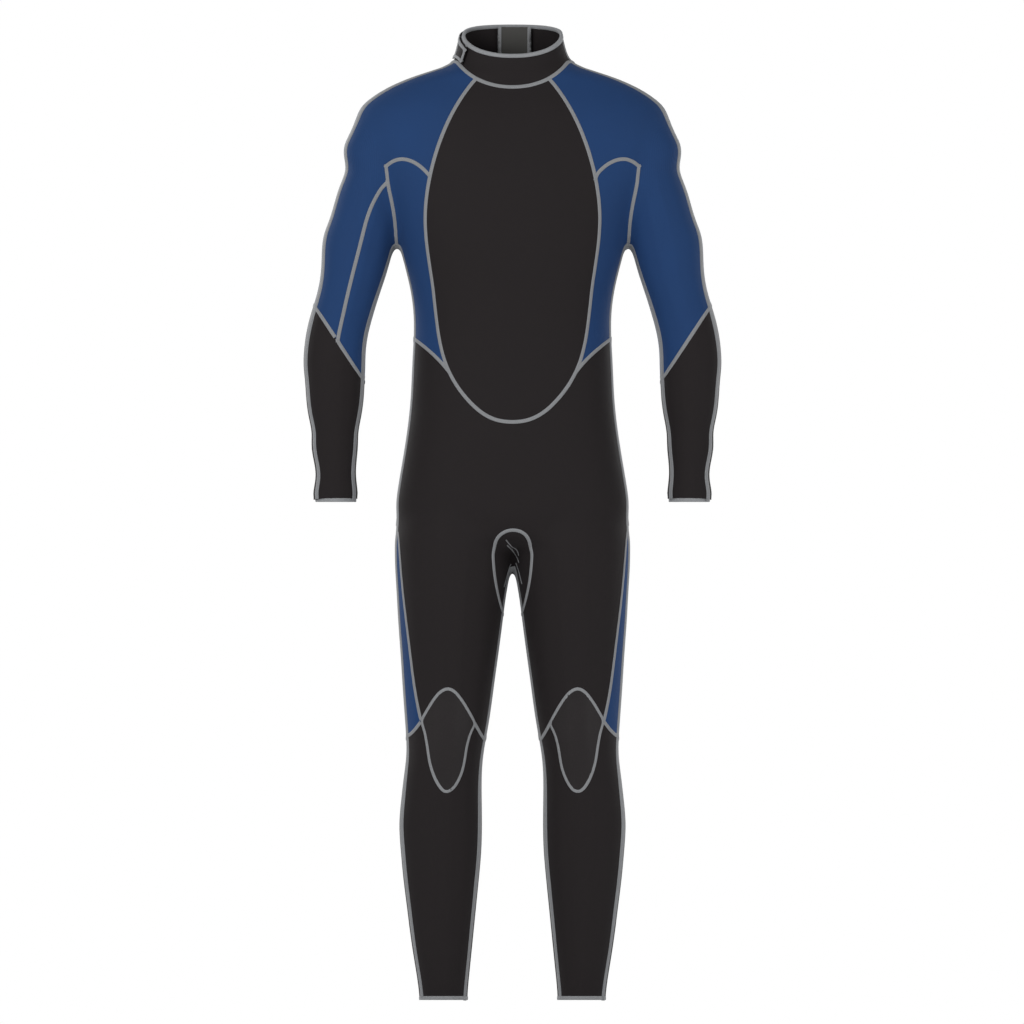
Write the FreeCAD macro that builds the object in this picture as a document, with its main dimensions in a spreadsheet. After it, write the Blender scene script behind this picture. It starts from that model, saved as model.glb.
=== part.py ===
"""Full-length wetsuit, built as a parametric FreeCAD document.

Frame: millimetres, +Z up, the wearer faces -Y and the wearer's right is -X.
The origin lies between the feet, level with the ankle hems.
Right-hand pieces are cut first, and the left-hand ones are their mirror images.
"""
import FreeCAD, Part
import math
import os

Vector = FreeCAD.Vector
doc = FreeCAD.newDocument("full_wetsuit")
sheet = doc.addObject("Spreadsheet::Sheet", "sizes")
NODES = []

SIZES = {
    # neoprene and its trims
    "neoprene": 3.0,
    "hem_height": 6.0,
    "hem_rise": 0.8,
    "side_seam_shift": 8.0,
    "wrist_level": 747.0,
    "wrist_centre": 265.0,
    "wrist_radius": 30.0,
    "ankle_centre": 103.5,
    "ankle_radius": 36.0,
    # hinge lines of the elbows and the knees
    "elbow_level": 1010.0,
    "elbow_swing_radius": 95.0,
    "knee_level": 395.0,
    "knee_swing_radius": 115.0,
    "swing_gap": 0.4,
    # back zip
    "zip_bottom": 930.0,
    "zip_top": 1350.0,
    "slot_half_width": 16.0,
    "tape_face": 96.8,
    "tape_thickness": 1.2,
    "coil_inner": 0.8,
    "coil_outer": 3.6,
    "coil_thickness": 2.8,
    "slider_level": 1336.0,
    "slider_length": 16.0,
    "slider_half_width": 6.0,
    "plate_thickness": 1.6,
    "pin_radius": 0.8,
    "pin_rise": 2.6,
    "eye_radius": 1.8,
    "eye_half_width": 1.7,
    "bore_radius": 0.9,
    "cheek_inner": 2.0,
    "cheek_outer": 3.2,
    "stop_length": 6.0,
    "pull_length": 38.0,
    "pull_half_width": 3.6,
    "pull_thickness": 1.6,
    "leash_length": 380.0,
    "leash_half_width": 10.0,
    "leash_thickness": 1.6,
    "grip_length": 70.0,
    # flap behind the zip, and the closure round the collar
    "guard_half_width": 24.0,
    "guard_shift": 3.0,
    "guard_depth": 7.0,
    "guard_thickness": 2.0,
    "fastener_thickness": 0.9,
    "tab_thickness": 3.0,
    "binding_thickness": 1.2,
    "binding_height": 4.5,
}

# Size charts. Each row: level, half width, reach to the front, reach to the back.
TORSO_CHART = {
    "neck_top": (1490, 70, 60, 46),
    "neck": (1450, 74, 60, 50),
    "neck_low": (1430, 79, 60, 55),
    "neck_base": (1408, 90, 61, 66),
    "slope_high": (1392, 127, 64, 80),
    "slope_mid": (1374, 176, 68, 91),
    "slope_low": (1356, 208, 76, 96),
    "shoulder_line": (1338, 228, 84, 98),
    "shoulder_point": (1315, 238, 92, 98),
    "armhole_top": (1280, 234, 101, 98),
    "upper_chest": (1230, 208, 110, 98),
    "chest": (1190, 187, 114, 98),
    "armpit": (1147, 174, 115, 98),
    "lower_chest": (1110, 164, 112, 98),
    "rib": (1065, 153, 106, 97),
    "waist_top": (1020, 148, 102, 96),
    "waist": (960, 150, 100, 95),
    "high_hip": (900, 153, 99, 97),
    "belly": (840, 160, 100, 102),
    "hip": (780, 170, 100, 109),
    "seat": (735, 175, 99, 112),
    "fork_top": (700, 168, 88, 102),
    "fork": (684, 140, 62, 76),
    "fork_tip": (673, 95, 35, 45),
}

# Each row: level, distance of the centre from the middle of the body, then as above.
ARM_CHART = {
    "cap": (1345, 190, 30, 30, 30),
    "cap_round": (1325, 193, 43, 42, 42),
    "shoulder": (1300, 197, 48, 52, 52),
    "deltoid": (1260, 201, 51, 56, 56),
    "armpit_high": (1230, 204, 51.5, 57, 57),
    "armpit_level": (1200, 214, 52, 57, 56),
    "biceps_high": (1170, 221, 54, 57, 55),
    "biceps": (1140, 229, 55.5, 56, 54),
    "biceps_low": (1110, 234.5, 52, 54, 52),
    "arm_low": (1080, 240.5, 48.5, 51, 50),
    "above_elbow": (1050, 249, 47, 48, 48),
    "elbow": (1020, 258, 47, 46, 47),
    "below_elbow": (990, 264.5, 46.5, 46, 46),
    "forearm_high": (960, 267, 46.5, 46, 45),
    "forearm": (930, 266.5, 45, 44, 43),
    "forearm_low": (900, 266.3, 43, 41, 40),
    "taper_high": (870, 266.3, 38.5, 37, 36),
    "taper_mid": (840, 266.5, 35, 34, 33),
    "taper_low": (810, 266, 32.5, 32, 31),
    "above_wrist": (780, 265, 31, 30.5, 30),
    "wrist": (747, 265, 30, 30, 30),
}

LEG_CHART = {
    "groin_inside": (760, 82, 62, 62, 76),
    "groin_high": (740, 85, 76, 80, 96),
    "groin": (712, 87.5, 86.5, 91, 109),
    "thigh_top": (680, 88.5, 88, 94, 110),
    "thigh_high": (650, 89, 87, 93, 107),
    "thigh": (615, 91, 83, 90, 101),
    "thigh_mid": (570, 93, 78.5, 86, 94),
    "thigh_low": (520, 94.5, 73.5, 80, 86),
    "above_knee": (480, 96, 69.5, 76, 79),
    "knee_top": (440, 97.3, 65.5, 72, 72),
    "knee_mid": (405, 98.8, 61.5, 69, 66),
    "knee_low": (370, 101.3, 58, 64, 63),
    "below_knee": (335, 104.5, 58.5, 58, 67),
    "calf_high": (300, 106.5, 60.5, 55, 71),
    "calf": (265, 107.7, 62, 52.5, 72),
    "calf_low": (225, 107.2, 60.5, 50, 68),
    "shin": (180, 107, 56.5, 47, 60),
    "shin_low": (140, 106.5, 52, 44.5, 54),
    "ankle_high": (100, 106, 47.5, 42, 48.5),
    "ankle_low": (60, 105, 42.5, 40, 43),
    "above_ankle": (25, 104, 38, 37.5, 38.5),
    "ankle": (0, 103.5, 36, 36, 36),
}

TORSO_COLUMNS = ("level", "half", "front", "back")
LIMB_COLUMNS = ("level", "centre", "half", "front", "back")

# Seam lines on the wearer's right: distance from the middle of the body, level.
CHEST_SEAM = [(42, 1396), (79, 1350), (118, 1260), (131, 1167), (119, 1065), (95, 942),
              (64, 897), (32, 873)]
CHEST_FOOT = 867
WAIST_SEAM = [(240, 1060), (145, 990), (118, 967.5), (95, 942)]
SIDE_TOP = [(189, 1251), (164, 1261.5), (139, 1251), (112, 1210)]
ARMPIT = (173, 1147.5)
CUFF_SEAM_OUTER = (295, 1038)
CUFF_SEAM_INNER = (223, 928.5)
UNDERARM_SEAM = [(168, 1252), (187, 1230), (211, 1192), (226, 1143), (244, 1072), (263, 988)]
THIGH_SEAM = [(176, 740), (172, 705), (166, 630), (154, 525), (145, 457), (137, 418.5)]
KNEE_ARCH = [(155, 397), (137, 418.5), (121, 445.5), (98, 467), (71, 441), (56, 414), (41, 388.5)]
KNEE_PAD_FOOT = [(137, 418.5), (127, 378), (116, 333), (98, 312), (80, 333), (70, 375), (56, 414)]
GUSSET_SEAM = [(0, 705), (19, 699), (28, 682.5), (29, 660), (26, 630), (16, 585), (9, 560)]
BACK_KNEE_LEVEL = 392

# Collar: its base seam in front and behind, seen from the front, and its top edge from the side.
BASE_FRONT = [(83, 1407), (53, 1381.5), (0, 1369.5)]
BASE_BACK = [(83, 1407), (45, 1418), (0, 1422)]
COLLAR_TOP = [(-60, 1416), (0, 1450), (52, 1462.5)]
TAB_EDGE = [(-63, 1444), (-78, 1394)]
TAB_ROOT = 38.0
ANCHOR_WIDTH = 14.0

# Larger than the suit in each direction.
WIDE = 400.0
DEEP = 200.0
ROOF = 1600.0
MARGIN = 20.0


def fill_sheet():
    """Put every driving dimension in the spreadsheet under its own alias."""
    cells = dict(SIZES)
    charts = [("torso", TORSO_CHART, TORSO_COLUMNS), ("arm", ARM_CHART, LIMB_COLUMNS),
              ("leg", LEG_CHART, LIMB_COLUMNS)]
    for form, chart, columns in charts:
        for landmark, values in chart.items():
            for column, value in zip(columns, values):
                cells[f"{form}_{landmark}_{column}"] = value
    for row, (alias, value) in enumerate(cells.items(), start=1):
        sheet.set(f"A{row}", alias)
        sheet.set(f"B{row}", str(value))
        sheet.setAlias(f"B{row}", alias)
    doc.recompute()


def size(alias):
    return float(getattr(sheet, alias))


def chart_rows(form, chart, columns):
    """Read one size chart back from the sheet, from the top down."""
    return [tuple(size(f"{form}_{landmark}_{column}") for column in columns) for landmark in chart]


# ---------------------------------------------------------------- basic objects

def feature(name, shape):
    """A document object with a shape from Part's own functions."""
    item = doc.addObject("Part::Feature", name)
    item.Shape = shape
    item.Placement = FreeCAD.Placement()
    return item


def cut(name, base, tool):
    item = doc.addObject("Part::Cut", name)
    item.Base = base
    item.Tool = tool
    return item


def common(name, base, tool):
    item = doc.addObject("Part::Common", name)
    item.Base = base
    item.Tool = tool
    return item


def fuse(name, pieces):
    item = doc.addObject("Part::MultiFuse", name)
    item.Shapes = pieces
    return item


def group(name, pieces):
    """Separate solids that count as one sub-part."""
    item = doc.addObject("Part::Compound", name)
    item.Links = pieces
    return item


def mirrored(name, source):
    item = doc.addObject("Part::Mirroring", name)
    item.Source = source
    item.Normal = Vector(1, 0, 0)
    item.Base = Vector(0, 0, 0)
    return item


def box(name, length, width, height, corner):
    """A box whose sizes and corner are spreadsheet expressions or numbers."""
    item = doc.addObject("Part::Box", name)
    bind(item, {"Length": length, "Width": width, "Height": height})
    place(item, corner)
    return item


def cylinder(name, radius, height, centre, axis="z"):
    item = doc.addObject("Part::Cylinder", name)
    bind(item, {"Radius": radius, "Height": height})
    turns = {"z": FreeCAD.Rotation(), "x": FreeCAD.Rotation(Vector(0, 1, 0), 90)}
    item.Placement = FreeCAD.Placement(Vector(), turns[axis])
    place(item, centre)
    return item


def bind(item, expressions):
    for prop, value in expressions.items():
        item.setExpression(prop, str(value))


def place(item, corner):
    for axis, value in zip("xyz", corner):
        item.setExpression(f"Placement.Base.{axis}", str(value))


def node(item, label):
    """Name a finished sub-part: the label is its file's name."""
    item.Label = label
    NODES.append(item)
    return item


def pair(item, label):
    """A right-hand sub-part and its mirror image."""
    node(item, "right_" + label)
    return node(mirrored("left_" + label + "_mirror", item), "left_" + label)


# ---------------------------------------------------------------- body forms

def quarter(centre, level, half, depth, side, power):
    """A quarter of one body section, from the -X side round to the front or back."""
    steps = 5
    points = []
    for step in range(steps + 1):
        angle = math.pi / 2 * step / steps
        across = half * math.cos(angle) ** (2 / power)
        along = depth * math.sin(angle) ** (2 / power)
        points.append(Vector(centre - across, side * along, level))
    points[0] = Vector(centre - half, 0, level)
    points[-1] = Vector(centre, side * depth, level)
    curve = Part.BSplineCurve()
    curve.interpolate(Points=points, Parameters=[step / steps for step in range(steps + 1)],
                      InitialTangent=Vector(0, side, 0), FinalTangent=Vector(1, 0, 0))
    return curve.toShape()


def limb_section(level, centre, half, front, back):
    """Closed section of a limb, left and right alike."""
    quarters = []
    for side, depth in ((-1, front), (1, back)):
        edge = quarter(centre, level, half, depth, side, LIMB_POWER)
        quarters += [edge, edge.mirror(Vector(centre, 0, 0), Vector(1, 0, 0))]
    return Part.Wire([quarters[0], quarters[1], quarters[3], quarters[2]])


def torso_section(level, half, front, back, past):
    """Right half of a torso section, closed a little past the middle of the body."""
    edges = [quarter(0, level, half, front, -1, TORSO_POWER)]
    corners = [Vector(0, -front, level), Vector(past, -front, level),
               Vector(past, back, level), Vector(0, back, level)]
    if not past:
        corners = [corners[0], corners[3]]
    edges += [Part.makeLine(start, end) for start, end in zip(corners, corners[1:])]
    edges.append(quarter(0, level, half, back, 1, TORSO_POWER))
    return Part.Wire(edges)


TORSO_POWER = 2.2
LIMB_POWER = 2.0
FLAT_SHOULDER = 1330
FLAT_NECK = 1400
FORK_LEVEL = 690
OVERRUN = 20.0
HOLLOW_OVERRUN = 25.0


def torso_form(name, grow, past=0.0, overrun=OVERRUN):
    """Right half of the torso offset by grow; past carries a cutting form over its middle."""
    rows = []
    for level, half, front, back in chart_rows("torso", TORSO_CHART, TORSO_COLUMNS):
        if FLAT_SHOULDER < level < FLAT_NECK:
            level += grow
        if level < FORK_LEVEL:
            level -= grow
        rows.append((level, half + grow, front + grow, back + grow))
    top = rows[0]
    rows.insert(0, (top[0] + overrun,) + top[1:])
    wires = [torso_section(*row, past) for row in rows]
    return feature(name, Part.makeLoft(wires, True, False))


def limb_form(name, form, chart, grow, overrun=0.0):
    """A right-hand limb offset by grow, carried past its cuff by overrun."""
    rows = []
    for level, centre, half, front, back in chart_rows(form, chart, LIMB_COLUMNS):
        rows.append((level, -centre, half + grow, front + grow, back + grow))
    if overrun:
        rows.append((rows[-1][0] - overrun,) + rows[-1][1:])
    return feature(name, Part.makeLoft([limb_section(*row) for row in rows], True, False))


# ---------------------------------------------------------------- seam outlines

def outline_prism(name, edges, near=-DEEP, far=DEEP):
    """Solid region behind a closed outline drawn in the front view."""
    face = Part.Face(Part.Wire(edges))
    return feature(name, face.extrude(Vector(0, far - near, 0)))


def spline(points, near=-DEEP):
    curve = Part.BSplineCurve()
    curve.interpolate([Vector(x, near, z) for x, z in points])
    return curve.toShape()


def line(start, end, near=-DEEP):
    return Part.makeLine(Vector(start[0], near, start[1]), Vector(end[0], near, end[1]))


def path(points, near=-DEEP):
    return [line(a, b, near) for a, b in zip(points, points[1:])]


def right(points):
    return [(-x, z) for x, z in points]


def closed_by(seam, corners, near=-DEEP):
    """A smooth seam closed by straight lines round the given outer corners."""
    return [spline(seam, near)] + path([seam[-1]] + corners + [seam[0]], near)


def above_arc(name, points, lift=0.0):
    """Region above an arc through three points of the side view, raised by lift."""
    ends = [Vector(-WIDE, y, z + lift) for y, z in points]
    first, last = ends[0], ends[2]
    arc = Part.Arc(*ends).toShape()
    corners = [last, Vector(-WIDE, DEEP, last.z), Vector(-WIDE, DEEP, ROOF),
               Vector(-WIDE, -DEEP, ROOF), Vector(-WIDE, -DEEP, first.z), first]
    lines = [Part.makeLine(a, b) for a, b in zip(corners, corners[1:])]
    face = Part.Face(Part.Wire([arc] + lines))
    return feature(name, face.extrude(Vector(2 * WIDE, 0, 0)))


def above_base(name, lift=0.0):
    """Region above the collar's base seam, raised by lift."""
    halves = []
    for label, seam, near, far in (("front", BASE_FRONT, -DEEP, 0), ("back", BASE_BACK, 0, DEEP)):
        points = [(x, z + lift) for x, z in right(seam) + seam[-2::-1]]
        edge = points[-1][1]
        corners = [(95, edge), (95, ROOF), (-95, ROOF), (-95, edge)]
        edges = closed_by(points, corners, near)
        halves.append(outline_prism(f"{name}_{label}", edges, near, far))
    return fuse(name, halves)


# ---------------------------------------------------------------- shells

def whole(name, half):
    """A sub-part across the middle of the body, from its right half."""
    return fuse(name, [half, mirrored(name + "_left_half", half)])


def make_forms():
    """Solid forms and hollows of the torso's right half, the right arm and the right leg."""
    wall = -size("neoprene")
    return {
        "torso": torso_form("torso_form", 0.0),
        "hollow": torso_form("torso_hollow", wall, 1.0, HOLLOW_OVERRUN),
        "arm": limb_form("arm_form", "arm", ARM_CHART, 0.0),
        "arm_hollow": limb_form("arm_hollow", "arm", ARM_CHART, wall, OVERRUN),
        "leg": limb_form("leg_form", "leg", LEG_CHART, 0.0),
        "leg_hollow": limb_form("leg_hollow", "leg", LEG_CHART, wall, OVERRUN),
    }


def hollowed(name, block, *hollows):
    """Take the wearer's space and any openings out of a solid block, which leaves a panel."""
    for count, hollow in enumerate(hollows, start=1):
        block = cut(f"{name}_{count}", block, hollow)
    return block


def slab(name, low, high):
    """Everything between two levels."""
    return box(name, 2 * WIDE, 2 * DEEP, f"{high} - ({low})", (-WIDE, -DEEP, low))


def make_spaces():
    """Half spaces and seam regions that the shells are cut along."""
    chest = right(CHEST_SEAM) + [(0, CHEST_FOOT)] + CHEST_SEAM[::-1]
    waist = [spline(right(WAIST_SEAM)), line(right(WAIST_SEAM)[-1], WAIST_SEAM[-1])]
    waist += [spline(WAIST_SEAM[::-1])]
    outer = WAIST_SEAM[0]
    waist += path([outer, (outer[0], 500), (-outer[0], 500), (-outer[0], outer[1])])
    gusset = right(GUSSET_SEAM[:0:-1]) + GUSSET_SEAM
    side = right(SIDE_TOP)
    side_corners = [(-80, 930), (-200, 930), (-200, 1100), right([ARMPIT])[0]]
    return {
        "front": box("front_space", 2 * WIDE, f"{DEEP} - sizes.side_seam_shift", ROOF,
                     (-WIDE, -DEEP, 0)),
        "chest": outline_prism("chest_region", closed_by(chest, [(42, ROOF), (-42, ROOF)])),
        "waist": outline_prism("waist_region", waist),
        "gusset": outline_prism("gusset_region", closed_by(gusset, [])),
        "side": outline_prism("side_region", closed_by(side, side_corners)),
        "neck": above_base("above_collar_base"),
    }


# ---------------------------------------------------------------- torso panels

def make_torso_panels(forms, space):
    """Chest, side, yoke, back, hip and seat panels; returns the gusset's torso part."""
    inside, armhole, leghole = forms["hollow"], forms["arm_hollow"], forms["leg_hollow"]
    core = common("trunk_core", forms["torso"], space["chest"])
    rest = cut("trunk_rest", forms["torso"], space["chest"])

    chest = common("chest_block", core, space["front"])
    node(whole("chest_cut", hollowed("chest_half", chest, inside, space["neck"])), "chest_panel")
    slot = box("zip_slot", "2 * sizes.slot_half_width", DEEP, "sizes.zip_top - sizes.zip_bottom",
               ("-sizes.slot_half_width", 0, "sizes.zip_bottom"))
    back = cut("back_block", core, space["front"])
    node(whole("back_cut", hollowed("back_half", back, inside, space["neck"], slot)), "back_panel")

    lower = common("trunk_lower", rest, space["waist"])
    gusset = common("gusset_block", lower, space["gusset"])
    lower = cut("trunk_fork", lower, space["gusset"])
    hip = common("hip_block", lower, space["front"])
    node(whole("hip_cut", hollowed("hip_half", hip, inside, leghole)), "hip_front_panel")
    seat = cut("seat_block", lower, space["front"])
    node(whole("seat_cut", hollowed("seat_half", seat, inside, leghole)), "seat_panel")

    upper = cut("trunk_upper", rest, space["waist"])
    upper_front = common("upper_front", upper, space["front"])
    side = common("side_block", upper_front, space["side"])
    pair(hollowed("side_half", side, inside, armhole), "side_panel")
    yoke_front = cut("yoke_front_block", upper_front, space["side"])
    pair(hollowed("yoke_front_half", yoke_front, inside, armhole, space["neck"]), "yoke_front")
    yoke_back = cut("yoke_back_block", upper, space["front"])
    pair(hollowed("yoke_back_half", yoke_back, inside, armhole, space["neck"]), "yoke_back")
    return hollowed("gusset_half", gusset, inside, leghole)


# ---------------------------------------------------------------- sleeves

def swing_space(name, level, radius, near, far):
    """Everything below a hinge level and outside the cylinder it swings round."""
    below = slab(name + "_slab", 0, level)
    drum = cylinder(name + "_drum", radius, far - near, (near, 0, level), "x")
    return cut(name, below, drum)


def make_sleeve(forms, space):
    """Right sleeve: blue upper panels, black forearm panels and the wrist hem."""
    arm_shell = hollowed("arm_shell", forms["arm"], forms["arm_hollow"], forms["torso"])
    hem_top = "sizes.wrist_level + sizes.hem_height"
    tube = cut("sleeve_tube", arm_shell, slab("below_wrist_hem", 0, hem_top))
    inner, outer = CUFF_SEAM_INNER, CUFF_SEAM_OUTER
    slope = (outer[1] - inner[1]) / (outer[0] - inner[0])
    near, far = 140.0, 380.0
    cuff_line = [(-x, inner[1] + slope * (x - inner[0])) for x in (near, far)]
    cuff_corners = [(-far, 500), (-near, 500), cuff_line[0]]
    cuff = outline_prism("cuff_region", path(cuff_line + cuff_corners))
    lower = common("forearm_tube", tube, cuff)
    upper = cut("sleeve_upper", tube, cuff)

    whole_front = common("sleeve_front_whole", upper, space["front"])
    foot, head = right(UNDERARM_SEAM)[-1], right(UNDERARM_SEAM)[0]
    underarm_corners = [(foot[0], 900), (-120, 900), (-120, head[1])]
    underarm = outline_prism("underarm_region", closed_by(right(UNDERARM_SEAM), underarm_corners))
    node(cut("right_sleeve_front_cut", whole_front, underarm), "right_sleeve_front")
    node(common("right_underarm_cut", whole_front, underarm), "right_underarm_panel")
    node(mirrored("left_sleeve_front_cut", whole_front), "left_sleeve_front")
    pair(cut("sleeve_back_cut", upper, space["front"]), "sleeve_back")

    swing = "sizes.elbow_swing_radius"
    kept = swing_space("elbow_kept", "sizes.elbow_level", swing, -far, -near)
    moved = swing_space("elbow_moved", "sizes.elbow_level", swing + " + sizes.swing_gap", -far, -near)
    pair(cut("elbow_cut", lower, kept), "elbow_panel")
    forearm = common("forearm_moving", lower, moved)
    pair(common("forearm_front_cut", forearm, space["front"]), "forearm_front")
    pair(cut("forearm_back_cut", forearm, space["front"]), "forearm_back")
    pair(hem("wrist"), "wrist_hem")


def hem(end):
    """Turned-up round hem at the end of a right-hand limb."""
    level = {"wrist": "sizes.wrist_level", "ankle": "0"}[end]
    centre = (f"-sizes.{end}_centre", 0, level)
    outside = cylinder(f"{end}_hem_outside", f"sizes.{end}_radius + sizes.hem_rise",
                       "sizes.hem_height", centre)
    inside = cylinder(f"{end}_hem_inside", f"sizes.{end}_radius - sizes.neoprene - sizes.hem_rise",
                      "sizes.hem_height", centre)
    return cut(f"{end}_hem_cut", outside, inside)


# ---------------------------------------------------------------- legs

def make_leg(forms, space):
    """Right leg panels, knee pad and ankle hem; returns the gusset's leg part."""
    leg_shell = hollowed("leg_shell", forms["leg"], forms["leg_hollow"], forms["torso"])
    tube = cut("leg_open", leg_shell, slab("below_ankle_hem", 0, "sizes.hem_height"))
    gusset = common("gusset_leg", tube, space["gusset"])
    body = cut("leg_body", tube, space["gusset"])
    front = common("leg_front", body, space["front"])
    back = cut("leg_back", body, space["front"])

    outer, inner = right(KNEE_ARCH)[0], right(KNEE_ARCH)[-1]
    arch_corners = [(10, inner[1]), (10, -10), (-WIDE, -10), (-WIDE, outer[1])]
    arch = outline_prism("below_knee_arch", closed_by(right(KNEE_ARCH), arch_corners))
    lower_front = common("leg_lower_front", front, arch)
    upper_front = cut("leg_upper_front", front, arch)
    below_back = slab("below_back_knee", 0, BACK_KNEE_LEVEL)
    lower_back = common("leg_lower_back", back, below_back)
    upper_back = cut("leg_upper_back", back, below_back)

    seam = right(THIGH_SEAM)
    side_corners = [(seam[-1][0] + 4, 380), (-260, 380), (-260, seam[0][1])]
    side = outline_prism("thigh_side_region", closed_by(seam, side_corners))
    pair(cut("thigh_front_cut", upper_front, side), "thigh_front")
    pair(cut("thigh_back_cut", upper_back, side), "thigh_back")
    side_pieces = [common("thigh_side_front", upper_front, side),
                   common("thigh_side_back", upper_back, side)]
    pair(fuse("thigh_side_cut", side_pieces), "thigh_side")

    foot = right(KNEE_PAD_FOOT)
    pad = outline_prism("knee_pad_region", closed_by(foot, [(foot[-1][0], 480), (foot[0][0], 480)]))
    pair(common("knee_pad_cut", lower_front, pad), "knee_pad")
    shin_whole = cut("shin_whole", lower_front, pad)

    swing = "sizes.knee_swing_radius"
    kept = swing_space("knee_kept", "sizes.knee_level", swing, -WIDE / 2, WIDE / 2)
    moved = swing_space("knee_moved", "sizes.knee_level", swing + " + sizes.swing_gap",
                        -WIDE / 2, WIDE / 2)
    surround = [cut("knee_sides", shin_whole, kept), cut("knee_hollow", lower_back, kept)]
    pair(group("knee_surround_cut", surround), "knee_surround")
    pair(common("shin_cut", shin_whole, moved), "shin_panel")
    pair(common("calf_cut", lower_back, moved), "calf_panel")
    pair(hem("ankle"), "ankle_hem")
    return gusset


# ---------------------------------------------------------------- collar

def layer(name, zone, outer, inner):
    """The part of the space between two offsets of the torso that lies in a zone."""
    return cut(name, common(name + "_block", outer, zone), inner)


def collar_zone(name, low_lift, high_lift):
    """Region between the collar's base seam and its top edge, each raised by a lift."""
    floor = above_base(name + "_floor", low_lift)
    return cut(name, floor, above_arc(name + "_roof", COLLAR_TOP, high_lift))


def back_box(name, near, far, front=0):
    """Space behind the wearer's right side, between two distances from the middle."""
    return box(name, far - near, DEEP - front, ROOF, (-far, front, 0))


def make_collar(forms):
    """Collar, its bound edge, and the hook-and-loop tab that closes it."""
    hollow = forms["hollow"]
    ring = layer("collar_half", collar_zone("collar_space", 0, 0), forms["torso"], hollow)
    node(whole("collar_cut", ring), "collar_band")

    rim = size("binding_thickness")
    rim_floor = above_arc("binding_floor", COLLAR_TOP, -size("binding_height"))
    rim_zone = cut("binding_zone", rim_floor, above_arc("binding_roof", COLLAR_TOP, rim))
    rim_block = layer("binding_block", rim_zone, torso_form("binding_form", rim), hollow)
    node(whole("binding_cut", cut("binding_half", rim_block, ring)), "neck_binding")

    loop_top = size("fastener_thickness")
    hook_top = 2 * loop_top
    loop_form = torso_form("loop_form", loop_top, 1.0)
    tab_inner = torso_form("tab_inner", hook_top, 1.0)
    tab_outer = torso_form("tab_outer", hook_top + size("tab_thickness"))

    edge = TAB_EDGE
    front_reach = outline_prism("tab_front_reach", path(
        [edge[0], edge[1], (-WIDE, edge[1][1]), (-WIDE, edge[0][1]), edge[0]]), -DEEP, 0)
    tab_zone = collar_zone("tab_zone", 5, -3)
    tab_ring = layer("tab_ring", tab_zone, tab_outer, tab_inner)
    reach = fuse("tab_reach", [front_reach, back_box("tab_right_reach", -MARGIN, WIDE)])
    wrap = common("tab_wrap", tab_ring, reach)
    root = common("tab_root", tab_ring, back_box("tab_left_reach", -MARGIN, TAB_ROOT))
    node(fuse("tab_cut", [wrap, mirrored("tab_root_left", root)]), "collar_tab")
    sewn = back_box("anchor_reach", TAB_ROOT + 1, TAB_ROOT + 1 + ANCHOR_WIDTH)
    anchor_zone = common("anchor_zone", collar_zone("anchor_space", 5, -6), sewn)
    anchor = layer("anchor_half", anchor_zone, tab_outer, forms["torso"])
    node(mirrored("anchor_cut", anchor), "tab_anchor")

    patch_zone = collar_zone("patch_zone", 10, -9)
    hook_zone = common("hook_zone", patch_zone, back_box("hook_reach", 52, WIDE, -20))
    node(layer("hook_cut", hook_zone, tab_inner, loop_form), "hook_patch")
    loop_zone = common("loop_zone", patch_zone, back_box("loop_reach", 28, WIDE, -20))
    node(layer("loop_cut", loop_zone, loop_form, forms["torso"]), "loop_patch")


# ---------------------------------------------------------------- back zip

def make_zip_guard():
    """Soft flap behind the zip, sewn to the back panel below it and free above."""
    depth = size("guard_depth")
    outer = torso_form("guard_outer", -depth)
    inner = torso_form("guard_inner", -depth - size("guard_thickness"), 1.0, HOLLOW_OVERRUN)
    wall = torso_form("guard_wall", -size("neoprene"))
    roof = above_arc("guard_roof", COLLAR_TOP, -1)
    halves = []
    for label, reach in (("right", size("guard_half_width") - size("guard_shift")),
                         ("left", size("guard_half_width") + size("guard_shift"))):
        strip = box(f"guard_{label}_strip", reach + MARGIN, DEEP, ROOF,
                    (-reach, 0, "sizes.zip_bottom - 8"))
        sheet_zone = cut(f"guard_{label}_zone", strip, roof)
        foot = box(f"guard_{label}_foot", reach + MARGIN, DEEP, 24,
                   (-reach, 0, "sizes.zip_bottom - 30"))
        half = fuse(f"guard_{label}_half", [layer(f"guard_{label}_sheet", sheet_zone, outer, inner),
                                            layer(f"guard_{label}_root", foot, wall, inner)])
        halves.append(half)
    node(fuse("guard_cut", [halves[0], mirrored("guard_left", halves[1])]), "zip_guard_flap")


def zip_box(name, x, y, z):
    """Box given as (low, high) expressions along each axis."""
    spans = [f"({high}) - ({low})" for low, high in (x, y, z)]
    return box(name, *spans, [low for low, _ in (x, y, z)])


def make_zip_tracks():
    """Woven tapes, coil rows and stops of the back zip."""
    tape_y = ("sizes.tape_face - sizes.tape_thickness", "sizes.tape_face")
    coil_y = ("sizes.tape_face + 0.8 - sizes.coil_thickness", "sizes.tape_face + 0.8")
    full = ("sizes.zip_bottom", "sizes.zip_top")
    track = ("sizes.zip_bottom + sizes.stop_length", "sizes.zip_top - 4")
    top = ("sizes.zip_top - 4", "sizes.zip_top")
    coil_x = ("-sizes.coil_outer", "-sizes.coil_inner")
    pair(zip_box("tape", ("-sizes.slot_half_width", "-sizes.coil_outer"), tape_y, full), "zip_tape")
    pair(zip_box("coil", coil_x, coil_y, track), "zip_coil")
    stop = zip_box("top_stop", coil_x, coil_y, top)
    node(group("top_stop_pair", [stop, mirrored("left_top_stop", stop)]), "zip_top_stops")
    bottom = ("sizes.zip_bottom", "sizes.zip_bottom + sizes.stop_length")
    node(zip_box("bottom_stop", ("-sizes.coil_outer", "sizes.coil_outer"), coil_y, bottom),
         "zip_bottom_stop")


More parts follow.
